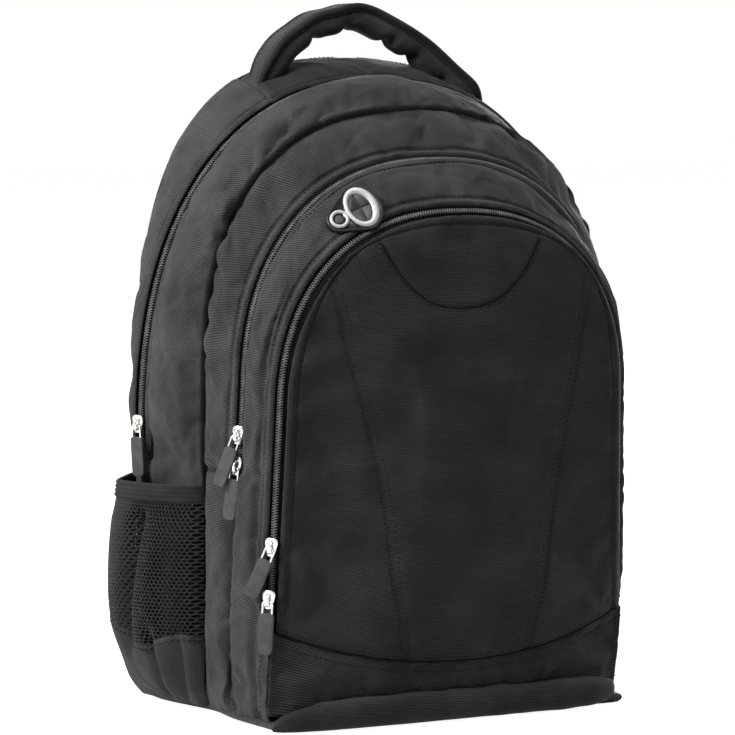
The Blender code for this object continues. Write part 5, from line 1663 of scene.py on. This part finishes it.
def build_pocket(word, side, finishes):
    """A side pocket: ribbed elastic band, mesh with real holes and a plain foot with tucks."""
    top = pocket_grid(side, level(POCKET_TOP - BAND_HEIGHT), level(POCKET_TOP), 61, ELASTIC_ROWS, 0.0012)
    wave = ELASTIC_RIB * np.abs(np.sin(math.pi * np.linspace(0.0, 1.0, ELASTIC_ROWS) * 4.0)) ** 0.7
    top = top + side * X_AXIS * wave[None, :, None]
    band = cloth_object("pocket_band_" + word + "_elastic", top, 0.0024, finishes["elastic"])
    verts, faces, weave = pocket_mesh_arrays(side)
    net = add_object("pocket_mesh_" + word + "_knit", verts, faces, finishes["net"], weave)
    thick = net.modifiers.new("thick", "SOLIDIFY")
    thick.thickness = NET_THICKNESS
    thick.offset = 0.0
    apply_modifiers(net)
    low = pocket_grid(side, level(CLOTH_FOOT), lambda share: mesh_foot(share) + 0.002, 91, 31, 0.0010)
    foot = cloth_object("pocket_foot_" + word + "_cloth", low, 0.0016, finishes["cloth"])
    normal = grid_normals(low)[:, -3]
    rows = [(low[:, -3] + normal * 0.0002, normal)]
    seam = seam_object("pocket_stitching_" + word, rows, finishes["thread"])
    for made, node, slot in ((band, "pocket_band_" + word, "webbing"), (net, "pocket_mesh_" + word, "net"),
                             (foot, "pocket_foot_" + word, "cloth"), (seam, None, "webbing")):
        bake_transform(made)
        if node:
            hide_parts(node)


# Back, straps and fittings

def pad_grid(left, right, low, high):
    """A crowned cushion on the back panel, as a grid from side to side and up."""
    u = np.linspace(-1.0, 1.0, 41)[:, None]
    v = np.linspace(-1.0, 1.0, 61)[None, :]
    x = (left + right) / 2.0 + (right - left) / 2.0 * u * np.sqrt(1.0 - PAD_CORNER * v * v)
    z = (low + high) / 2.0 + (high - low) / 2.0 * v * np.sqrt(1.0 - PAD_CORNER * u * u)
    dome = ((1.0 - u ** 6) * (1.0 - v ** 6)) ** 0.45
    return np.stack([x, back_y(z) + PAD_SEAT + PAD_HEIGHT * dome, z], axis=-1)


PADS = {
    "back_pad_left": (-0.118, -0.016, 0.165, 0.385),
    "back_pad_right": (0.016, 0.118, 0.165, 0.385),
    "back_pad_lumbar": (-0.086, 0.086, 0.050, 0.145),
}
PAD_HEIGHT = 0.0095
PAD_CORNER = 0.16
PAD_SEAT = 0.0034


def strap_line(side, shares):
    """The middle line of a shoulder strap, from the yoke down to the ladder lock."""
    t = np.clip(np.asarray(shares), 0.0, 1.0)
    z = STRAP_TOP_Z - STRAP_DROP * np.asarray(shares)
    x = STRAP_TOP_X + STRAP_SPREAD * smooth(t)
    stand = STRAP_STAND_TOP + (STRAP_STAND_LOW - STRAP_STAND_TOP) * t
    stand = stand + STRAP_BOW * np.sin(math.pi * t ** 0.8)
    return np.stack([side * x, back_y(z) + stand, z], axis=-1)


def strap_width(t):
    """The width of a shoulder strap along it."""
    low = np.where(t < 0.5, STRAP_WIDTH_TOP, STRAP_WIDTH_LOW)
    return low + (STRAP_WIDTH - low) * smooth(1.0 - np.abs(2.0 * t - 1.0) ** 2)


def web_object(name, path, finish):
    """Flat webbing along a path, lying across X."""
    sections = [superloop(WEB_WIDTH, WEB_THICKNESS, 6.0, 20)] * len(path)
    return loft_object(name, ribbon_loops(path, X_AXIS, sections), finish)


def ladder_lock_arrays(top):
    """A buckle frame with two slots: two side rails and three bars, all rounded."""
    pieces = []
    for x in (-0.0158, 0.0158):
        rail = np.array([(x, 0.0, 0.0), (x, 0.0, -0.009), (x, 0.0, -0.018), (x, 0.0, -0.027)])
        pieces.append(loft_arrays(ribbon_loops(rail, X_AXIS, [superloop(0.0044, 0.0050, 4.0, 16)] * 4)))
    for z in (-0.0023, -0.0135, -0.0247):
        bar = np.array([(-0.017, 0.0, z), (-0.006, 0.0006, z), (0.006, 0.0006, z), (0.017, 0.0, z)])
        pieces.append(loft_arrays(ribbon_loops(bar, Z_AXIS, [superloop(0.0044, 0.0046, 3.5, 16)] * 4)))
    verts, faces = join_arrays(pieces)
    return verts + top, faces


def build_strap(word, side, finishes):
    """A padded shoulder strap with bound edges."""
    shares = np.linspace(STRAP_START, 1.0, 65)
    path = strap_line(side, shares)
    path[:, 1] = np.maximum(path[:, 1], back_y(path[:, 2]) + 0.0030)
    ends = smooth((shares - STRAP_START) / 0.10) * smooth((1.0 - shares) / 0.03 + 0.35)
    widths = strap_width(np.clip(shares, 0.0, 1.0))
    thickness = STRAP_END_THICKNESS + (STRAP_THICKNESS - STRAP_END_THICKNESS) * ends
    sections = [superloop(w, h, STRAP_SQUARENESS, 32) for w, h in zip(widths, thickness)]
    loops = ribbon_loops(path, X_AXIS, sections)
    pad = loft_object("strap_pad_" + word + "_cloth", loops, finishes["cloth"])
    pieces, rows = [], []
    across = 1.0 - 2.0 * STRAP_STITCH_INSET / widths
    lift = thickness / 2.0 * (1.0 - across ** STRAP_SQUARENESS) ** (1.0 / STRAP_SQUARENESS)
    for edge in (-1.0, 1.0):
        pieces.append(tube_arrays(path + X_AXIS * (edge * (widths / 2.0 - 0.0006))[:, None], 0.0022, 8))
        inner = path + X_AXIS * (edge * (widths / 2.0 - STRAP_STITCH_INSET))[:, None]
        rows.append((inner + Y_AXIS * (lift + 0.0001)[:, None], np.broadcast_to(Y_AXIS, inner.shape)))
    piping = add_object("strap_binding_" + word, *join_arrays(pieces), finishes["binding"])
    seam = seam_object("strap_stitching_" + word, rows, finishes["thread"])
    for made in (pad, piping, seam):
        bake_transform(made)
    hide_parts("strap_pad_" + word)


def build_webbing(word, side, finishes):
    """The buckle at the foot of a shoulder strap, its loose tail and the webbing down to the tab."""
    body = "strap_" + word
    top = strap_line(side, np.array([1.0]))[0] - np.array([0.0, 0.0, 0.0012])
    lock = add_object("ladder_lock_" + word + "_frame", *ladder_lock_arrays(top), finishes["plastic"])
    show(lock, body, ("ladder_lock_" + word,))
    hang = spline(top + np.array(TAIL_LINE), 41)
    tail = web_object("strap_tail_" + word + "_webbing", hang, finishes["binding"])
    show(tail, body, ("strap_tail_" + word,))
    foot = np.array([side * TAB_X, back_y(TAB_HIGH) + 0.0019, 0.046])
    head = top - np.array([0.0, 0.0008, 0.0190])
    middle = foot * 0.5 + head * 0.5 + np.array([0.0, 0.001, 0.0])
    above, below = foot + np.array([0.0, 0.0002, 0.016]), head - np.array([0.0, 0.0, 0.010])
    line = spline([foot, above, middle, below, head], 41)
    web = web_object("strap_webbing_" + word + "_band", line, finishes["binding"])
    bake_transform(web)
    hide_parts("strap_webbing_" + word)


def back_patch_grid(left, right, low, high, lift, columns, rows):
    """A patch lying on the back panel."""
    x = np.linspace(left, right, columns)[:, None] + np.zeros((1, rows))
    z = np.linspace(low, high, rows)[None, :] + np.zeros((columns, 1))
    return np.stack([x, back_y(z) + lift, z], axis=-1)


def border_rows(grid, inset):
    """Stitch lines round the inside of a patch."""
    normals = grid_normals(grid)
    lines = []
    for line, normal in ((grid[:, inset], normals[:, inset]), (grid[:, -1 - inset], normals[:, -1 - inset]),
                         (grid[inset], normals[inset]), (grid[-1 - inset], normals[-1 - inset])):
        lines.append((line[inset:-inset] + normal[inset:-inset] * 0.0001, normal[inset:-inset]))
    return lines


def build_tab(word, side, finishes):
    """The sewn cloth tab that holds the lower webbing."""
    middle = side * TAB_X
    half = TAB_WIDTH / 2.0
    grid = back_patch_grid(middle - half, middle + half, TAB_LOW, TAB_HIGH, 0.0068, 17, 17)
    u = np.linspace(-1.0, 1.0, 17)
    grid[..., 1] -= 0.0012 * (np.abs(u)[:, None] ** 6 + np.abs(u)[None, :] ** 6)
    tab = cloth_object("strap_tab_" + word + "_cloth", grid, 0.0028, finishes["cloth"])
    show(tab, "rear_body", ("strap_tab_" + word,))
    seam = seam_object("strap_tab_stitching_" + word, border_rows(grid, 2), finishes["thread"])
    show(seam, "rear_body", ())


def build_back(settled, finishes):
    """The back panel, its piping, pads and the yoke over the strap ends."""
    x, z = arch_patch(BACK, BACK_INSET, level(CLOTH_FOOT), 61, 61)
    panel = soften(np.stack([x, back_y(z) + BACK_THICKNESS, z], axis=-1), *BACK_DENTS)
    made = cloth_object("back_panel_cloth", panel, BACK_THICKNESS, finishes["cloth"])
    show(made, "rear_body", ("back_panel",))
    shares = np.linspace(0.004, 0.996, 260)
    edge = arch_curve(BACK, shares) - arch_outward(BACK, shares) * 0.0012 + np.array([0.0, 0.0010, 0.0])
    piping = add_object("back_piping", *tube_arrays(edge, 0.0024, 10), finishes["binding"])
    show(piping, "rear_body", ())
    for name in PADS:
        grid = refine(settled[name])
        pad = cloth_object(name + "_spacer", grid, 0.0030, finishes["spacer"])
        show(pad, "rear_body", (name,))
        seam = seam_object(name + "_stitching", border_rows(grid, 3), finishes["thread"])
        show(seam, "rear_body", ())
    yoke = back_patch_grid(-0.085, 0.085, 0.4165, 0.441, 0.0, 61, 15)
    beyond = np.abs(np.abs(yoke[..., 0]) - STRAP_TOP_X) - STRAP_WIDTH_TOP / 2.0
    yoke[..., 1] += 0.0056 + 0.0026 * smooth((YOKE_FADE - beyond) / YOKE_FADE)
    patch = cloth_object("strap_yoke_cloth", yoke, 0.0026, finishes["cloth"])
    show(patch, "rear_body", ("strap_yoke",))
    seam = seam_object("strap_yoke_stitching", border_rows(yoke, 2), finishes["thread"])
    show(seam, "rear_body", ())


# Base and lining

def base_outline(inset):
    """The base seen from below, as pairs of y and half width from the front to the back."""
    rows = [(ROLL_Y + BASE_INSET, FRONT_ZIP.foot - BASE_INSET)]
    for arch in (MIDDLE_ZIP, CREASE, MAIN_ZIP, BACK):
        rows.append((arch.y_foot, arch.foot - BASE_INSET))
    rows = np.array(rows)
    rows[-1, 0] -= inset
    return spline(np.stack([rows[:, 0], rows[:, 1] - inset], axis=-1), 41)


def roll_loops():
    """The roll along the base's front edge, thinner at its ends and drawn up at the right one."""
    share = np.linspace(-1.0, 1.0, 121)
    ends = np.sqrt(np.clip(1.0 - (np.abs(share) / 1.001) ** np.where(share < 0.0, 5.0, 12.0), 0.0, None))
    dents = np.array([noise.noise(Vector((s * 9.0, 0.3, 0.7))) for s in share])
    size = np.maximum(ends, 0.12) * (1.0 + 0.05 * dents)
    reach = ROLL_REACH - ROLL_RIGHT_SHORT * smooth(share)
    height = ROLL_HEIGHT / 2.0 * (size + 1.2 * (1.0 - size) * smooth(share / 0.8))
    path = draw_in(np.stack([share * reach, ROLL_Y + 0.010 * (1.0 - size), height + 0.0002], axis=-1))
    return ribbon_loops(path, Y_AXIS, [superloop(ROLL_DEPTH * k, ROLL_HEIGHT * k, 3.0, 32) for k in size])


def build_base(finishes):
    """The base with the padded roll along its front edge."""
    loops = []
    for inset, z in ((0.010, 0.0), (0.004, 0.0002), (0.001, 0.0016), (0.0, 0.0036), (0.001, 0.0054),
                     (0.005, 0.0060)):
        half = base_outline(inset)
        left = np.stack([-half[:, 1], half[:, 0], np.full(len(half), z)], axis=-1)
        right = (left * np.array([-1.0, 1.0, 1.0]))[::-1]
        loops.append(np.concatenate([left, right]))
    verts, faces = loft_arrays(loops)
    slab = add_object("base_cloth", verts, faces, finishes["cloth"], verts[:, :2])
    # The roll takes the darker front cloth as painted shade
    roll = loft_object("base_roll", roll_loops(), finishes["panel"])
    show(slab, "rear_body", ("base_panel",))
    show(roll, "rear_body", ())


def floor_grid(rear, front, z):
    """The floor of a section between the feet of two arches."""
    share = np.linspace(1.0, -1.0, 31)[:, None]
    t = np.linspace(0.0, 1.0, 9)[None, :]
    half = (rear.foot + (front.foot - rear.foot) * t) - FLOOR_INSET
    y = rear.y_foot + (front.y_foot - rear.y_foot) * t
    x = share * half
    return np.stack(np.broadcast_arrays(x, y + 0.0 * x, z + 0.0 * x), axis=-1)


def build_lining(finishes):
    """The dividers inside, the board in the bottom and the floors of the front sections."""
    seat = Arch(*[a + (b - a) * SEAT_SHARE for a, b in zip(MIDDLE_ZIP, FRONT_ZIP)])
    for name, arch, body, inset in (("main_divider", CREASE, "middle_section", 0.0110),
                                    ("pocket_divider", seat, "front_pocket", 0.0050)):
        x, z = arch_patch(arch, inset, level(0.0105), 51, 51)
        grid = soften(np.stack([x, arch_y(arch, z) - 0.0008, z], axis=-1), *LINING_DENTS)
        made = cloth_object(name + "_lining", grid, LINING_THICKNESS, finishes["lining"])
        show(made, body, (name,))
    for name, rear, front, body in (("middle_floor", CREASE, MIDDLE_ZIP, "middle_section"),
                                    ("pocket_floor", MIDDLE_ZIP, FRONT_ZIP, "front_pocket")):
        grid = floor_grid(rear, front, 0.0090)
        made = cloth_object(name, grid, LINING_THICKNESS, finishes["cloth"])
        show(made, body, ())
    grid = floor_grid(BACK, CREASE, 0.0094)[:, 1:-1]
    board = cloth_object("base_board_lining", grid[::-1, ::-1], 0.0026, finishes["lining"])
    show(board, "rear_body", ("base_board",))


# Build

def set_camera():
    """The camera at the photograph's place."""
    turn, rise = math.radians(CAMERA_TURN), math.radians(CAMERA_RISE)
    back = Vector((-math.sin(turn) * math.cos(rise), -math.cos(turn) * math.cos(rise), math.sin(rise)))
    right = Vector((math.cos(turn), -math.sin(turn), 0.0))
    up = back.cross(right)
    place = CAMERA_PIVOT + back * CAMERA_DISTANCE
    aim = CAMERA_PIVOT + right * CAMERA_AIM_RIGHT + up * CAMERA_AIM_UP
    data = bpy.data.cameras.new("camera")
    data.lens = CAMERA_LENS
    data.sensor_width = 36.0
    data.clip_end = 50.0
    camera = bpy.data.objects.new("camera", data)
    camera.location = place
    camera.rotation_euler = (aim - place).to_track_quat("-Z", "Y").to_euler()
    bpy.context.scene.collection.objects.link(camera)
    bpy.context.scene.camera = camera


def area_light(name, place, target, size, energy):
    """A soft lamp aimed at a point."""
    data = bpy.data.lights.new(name, "AREA")
    data.shape = "DISK"
    data.size = size
    data.energy = energy
    lamp = bpy.data.objects.new(name, data)
    lamp.location = place
    lamp.rotation_euler = (Vector(target) - Vector(place)).to_track_quat("-Z", "Y").to_euler()
    bpy.context.scene.collection.objects.link(lamp)


def background_rays(tree):
    """1 for rays that see the background: from the camera, in metal and through glass."""
    path = tree.nodes.new("ShaderNodeLightPath")
    seen = path.outputs["Is Camera Ray"]
    for word in ("Is Glossy Ray", "Is Transmission Ray"):
        either = tree.nodes.new("ShaderNodeMath")
        either.operation = "MAXIMUM"
        tree.links.new(seen, either.inputs[0])
        tree.links.new(path.outputs[word], either.inputs[1])
        seen = either.outputs["Value"]
    return seen


def floor_material():
    """A pale floor that shows white where it is lit and keeps the object's shadow."""
    material, shader = new_material("pale_floor", (0.72, 0.72, 0.72), 0.9)
    shader.inputs["Specular IOR Level"].default_value = 0.0
    tree = material.node_tree
    shader.inputs["Emission Color"].default_value = (1.0, 1.0, 1.0, 1.0)
    glow = tree.nodes.new("ShaderNodeMath")
    glow.operation = "MULTIPLY"
    glow.inputs[1].default_value = FLOOR_GLOW
    tree.links.new(background_rays(tree), glow.inputs[0])
    tree.links.new(glow.outputs["Value"], shader.inputs["Emission Strength"])
    return material


def set_stage():
    """A pale floor, soft studio lamps and a white surround."""
    scene = bpy.context.scene
    scene.view_settings.view_transform = "Standard"
    bpy.ops.mesh.primitive_plane_add(size=30.0, location=(0.0, 0.0, -0.0005))
    floor = bpy.context.object
    floor.name = "floor"
    floor.data.materials.append(floor_material())
    world = bpy.data.worlds.new("studio")
    scene.world = world
    world.use_nodes = True
    tree = world.node_tree
    background = tree.nodes["Background"]
    background.inputs["Color"].default_value = (1.0, 1.0, 1.0, 1.0)
    strength = tree.nodes.new("ShaderNodeMapRange")
    strength.inputs["To Min"].default_value = WORLD_LIGHT
    strength.inputs["To Max"].default_value = 1.0
    tree.links.new(background_rays(tree), strength.inputs["Value"])
    tree.links.new(strength.outputs["Result"], background.inputs["Strength"])
    for lamp in LAMPS:
        area_light(*lamp)


def show(obj, body, nodes):
    """Puts a piece on its body in place of the frame's nodes."""
    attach(obj, body)
    if nodes:
        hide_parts(*nodes)


def split_band(grid, height):
    """A band cut at a height: its left foot, its upper part and its right foot."""
    above = np.flatnonzero(grid[:, grid.shape[1] // 2, 2] > height)
    first, last = above[0], above[-1]
    return grid[:first + 1], grid[first:last + 1], grid[last:]


def front_seams():
    """The seams across the front panel, as lines in x and z."""
    left = spline(((-0.099, 0.316), (-0.080, 0.246), (-0.061, 0.175), (-0.053, 0.118),
                   (-0.043, 0.049)), 120)
    right = spline(((0.103, 0.312), (0.093, 0.250), (0.084, 0.197), (0.068, 0.110), (0.054, 0.049)), 120)
    x = np.linspace(-0.0660, 0.0600, 240)
    patch = np.stack([x, 0.295 + 0.047 * np.abs((x + 0.003) / 0.063) ** 2.6], axis=-1)
    return left, right, patch


def beside(line, offset):
    """A line in x and z moved sideways."""
    along = unit(np.gradient(line, axis=0))
    return line + np.stack([along[:, 1], -along[:, 0]], axis=-1) * offset


def distance_to(grid, line):
    """The distance of each grid point, in x and z, from a line that runs mainly one way."""
    reach = np.ptp(line, axis=0)
    way = int(reach[1] > reach[0])
    line = line[np.argsort(line[:, way])]
    slope = np.gradient(line[:, 1 - way], line[:, way])
    flat = grid[..., (0, 2)]
    beyond = np.abs(flat[..., way] - np.clip(flat[..., way], line[0, way], line[-1, way]))
    aside = flat[..., 1 - way] - np.interp(flat[..., way], line[:, way], line[:, 1 - way])
    lean = np.interp(flat[..., way], line[:, way], slope)
    return np.hypot(aside / np.sqrt(1.0 + lean ** 2), beyond)


def laid_on(grid, lines):
    """Lines in x and z laid on the front panel, with its normals there."""
    tree = grid_tree(grid)
    laid = []
    for line in lines:
        points, normals = [], []
        for x, z in line:
            spot, normal, _, _ = tree.ray_cast(Vector((x, -1.0, z)), Vector(Y_AXIS))
            if spot is not None:
                points.append(spot)
                normals.append(-normal if normal.y > 0.0 else normal)
        laid.append((np.array(points), np.array(normals)))
    return laid


def side_distance(grid):
    """How far each point of a patch is from the nearer of its two sides."""
    turned = np.swapaxes(grid, 0, 1)
    return np.minimum(edge_distance(turned, True), edge_distance(turned, False)).T


def panel_folds(grid):
    """Soft folds sagging across the front panel, fullest at the left."""
    x, z = grid[..., 0], grid[..., 2]
    sag = z - 2.6 * (x - 0.01) ** 2
    folds = noise_at(np.stack([x * 7.0, np.zeros_like(x), sag * 34.0], axis=-1), 1.0, 11.0)
    full = 1.0 - 0.65 * smooth((x + 0.02) / 0.10)
    ends = np.minimum(edge_distance(grid, True), edge_distance(grid, False))
    fade = smooth(np.minimum(side_distance(grid), ends) / 0.02)
    return grid + grid_normals(grid) * (PANEL_FOLDS * folds * full * fade)[..., None]


def dress(name, grid, finish, nodes, rows, carry, finishes, band=None):
    """A piece of cloth with its rows of stitches, cut from a band or not; carry places each, on its body or
    baked where it stands.
    """
    # The band's name picks the painted shade of its seams and top
    made = cloth_object(name + "_cloth", grid, CLOTH_THICKNESS, finish, painted_seam_shade(band, grid))
    carry(made)
    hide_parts(*nodes)
    if rows:
        seam = seam_object(name + "_stitching", rows, finishes["thread"])
        carry(seam)


def edge_rows(grid):
    """Stitch lines along both long edges of a band."""
    return [row_at(grid, STITCH_INSET, True), row_at(grid, STITCH_INSET, False)]


def rider(body):
    """A function that puts a piece on one body."""
    return lambda made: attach(made, body)


def bender():
    """A function that bakes a piece's place into its own points, on no body."""
    return lambda made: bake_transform(made)


def border_fold(panel):
    """The front panel with its cloth folded over along its sides and top."""
    far = np.minimum(side_distance(panel), edge_distance(panel, False))
    return panel + grid_normals(panel) * 0.5 * fold_profile(far, 2.0 * PANEL_FOLD)[..., None]


def finish_grids(settled):
    """The settled cloth with finer points, dents, gathers, folds, drawn seams and pressed lines."""
    fine = {}
    for name in list(BANDS) + ["front_panel", "front_strip"]:
        fine[name] = soften(soften(refine(settled[name]), *WIDE_DENTS), *FINE_DENTS)
    for name in BANDS:
        fine[name] = crowd_edges(refine(fine[name])[::2])
    for name, from_start, amount, reach, pitch, low in PUCKERS:
        fine[name] = pucker(fine[name], from_start, amount, reach, pitch, float(len(name)), low)
    for (name, from_start), height in FOLD_HEIGHT.items():
        end = BANDS[name].rear_zip_end if from_start else BANDS[name].front_zip_end
        fine[name] = roll_edge(fine[name], from_start, end, height)
    for press in PRESSES:
        fine[press.band] = press_seam(fine[press.band], press)
    gusset = fine["front_gusset"]
    tuck = edge_distance(gusset, False) - TUCK_LINE
    hold = smooth((TUCK_TOP - gusset[..., 2]) / 0.10)
    fine["front_gusset"] = groove(gusset, tuck / np.maximum(hold, 0.02), 0.0030, 0.0035)
    middle = fine["middle_gusset"]
    fine["middle_gusset"] = groove(middle, middle[..., 2] - MIDDLE_CUT, 0.0022, 0.0022)
    return fine


def dress_rear(rear, finishes):
    """The band behind the main zipper, with the two seams beside its top part."""
    rows = edge_rows(rear)
    for x in (-TOP_SEAM_X, TOP_SEAM_X):
        high = np.where(rear[:, 0, 2] > BACK.spring, np.abs(rear[:, 0, 0] - x), 1.0)
        column = int(np.argmin(high))
        away = grid_lengths(rear)[0] - grid_lengths(rear)[0][column]
        lap = 0.0010 * smooth(0.5 - away * np.sign(-x) / 0.004)
        rear = groove(rear + grid_normals(rear) * lap[..., None], away, 0.0026, 0.0024)
        for offset in (-1, 1):
            rows.append((rear[column + offset], grid_normals(rear)[column + offset]))
    nodes = ("rear_gusset_left", "rear_gusset_top", "rear_gusset_right")
    dress("rear_gusset", rear, finishes["cloth"], nodes, rows, rider("rear_body"), finishes, "rear_gusset")


def dress_sections(fine, finishes):
    """The main and middle gussets, each cut into an upper part and two feet, and the front gusset."""
    left, upper, right = split_band(fine["main_gusset"], MAIN_CUT)
    dress("main_gusset", upper, finishes["cloth"], ("main_gusset",), edge_rows(upper)[:1],
          rider("middle_section"), finishes, "main_gusset")
    shear = bender()
    # The side panels take the charcoal cloth darkened as painted shade
    for name, grid in (("side_panel_left", left), ("side_panel_right", right)):
        dress(name, grid, finishes["shaded"], (name,), edge_rows(grid), shear, finishes, "main_gusset")
    left, upper, right = split_band(fine["middle_gusset"], MIDDLE_CUT)
    normals = grid_normals(upper)
    rows = edge_rows(upper)[1:] + [(upper[k], normals[k]) for k in (1, -2)]
    dress("middle_gusset", upper, finishes["cloth"], ("middle_gusset",), rows,
          rider("middle_section"), finishes, "middle_gusset")
    shear = bender()
    for name, grid, nodes in (("middle_foot_left", left, ("middle_gusset_lower",)),
                              ("middle_foot_right", right, ())):
        dress(name, grid, finishes["cloth"], nodes, edge_rows(grid), shear, finishes, "middle_gusset")
    gusset = fine["front_gusset"]
    dress("front_gusset", gusset, finishes["cloth"], ("front_gusset",), edge_rows(gusset),
          rider("front_pocket"), finishes, "front_gusset")


def dress_front(fine, finishes):
    """The front panel with its seams, and the strip under it. Gives back the panel's points."""
    panel = border_fold(refine(panel_folds(fine["front_panel"])))
    left, right, patch = front_seams()
    middle = sum(PANEL_STITCH_OFFSETS) / 2.0
    for line, width in ((beside(left, middle), 0.0040), (beside(right, middle), 0.0040), (patch, 0.0024)):
        panel = groove(panel, distance_to(panel, line), width, 0.0009)
    sewn = [beside(line, offset) for line in (left, right) for offset in PANEL_STITCH_OFFSETS]
    sewn.append(beside(patch, PATCH_STITCH_OFFSET))
    fold = bender()
    rows = laid_on(panel, sewn) + [row_at(panel, 0.0030, True), border_line(panel, 7)]
    # The panel and the strip take the darker front cloth as painted shade
    dress("front_panel", panel, finishes["panel"], ("front_panel",), rows, fold, finishes)
    # Dark cords in the thread's colour along the patch's seam and the panel's lower edge: the seam lines,
    # with painted shadow in their gaps
    edge = panel[:, 0] + grid_normals(panel)[:, 0] * 0.0002
    shadow_cords = [tube_arrays(line, SEAM_SHADOW_CORD, 6) for line in (laid_on(panel, [patch])[0][0], edge)]
    shadow_cord = add_object("front_panel_seam_shadows", *join_arrays(shadow_cords), finishes["thread"])
    fold(shadow_cord)
    strip = fine["front_strip"]
    dress("front_strip", strip, finishes["panel"], ("front_lower_panel",), edge_rows(strip),
          rider("front_pocket"), finishes)
    return panel


def build_zips(panel, finishes):
    """The three zippers, half on the body behind and half on the one ahead."""
    for name, chain in ZIPS.items():
        halves = make_zip(name, panel, finishes)
        for (tape, teeth), body, word in zip(halves, chain.bodies, ("rear", "front")):
            show(tape, body, (name + "_tape_" + word,))
            show(teeth, body, ())


def main():
    """Loads the frame and dresses it."""
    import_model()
    set_camera()
    set_stage()
    finishes = make_materials()
    settled = settle(make_drapes())
    fine = finish_grids(settled)
    dress_rear(fine["rear_gusset"], finishes)
    dress_sections(fine, finishes)
    build_zips(dress_front(fine, finishes), finishes)
    build_sliders(finishes)
    build_port(fine["front_gusset"], finishes)
    build_handle(finishes)
    build_back(settled, finishes)
    for word, side in (("left", -1.0), ("right", 1.0)):
        build_pocket(word, side, finishes)
        build_strap(word, side, finishes)
        build_webbing(word, side, finishes)
        build_tab(word, side, finishes)
    build_base(finishes)
    build_lining(finishes)


main()
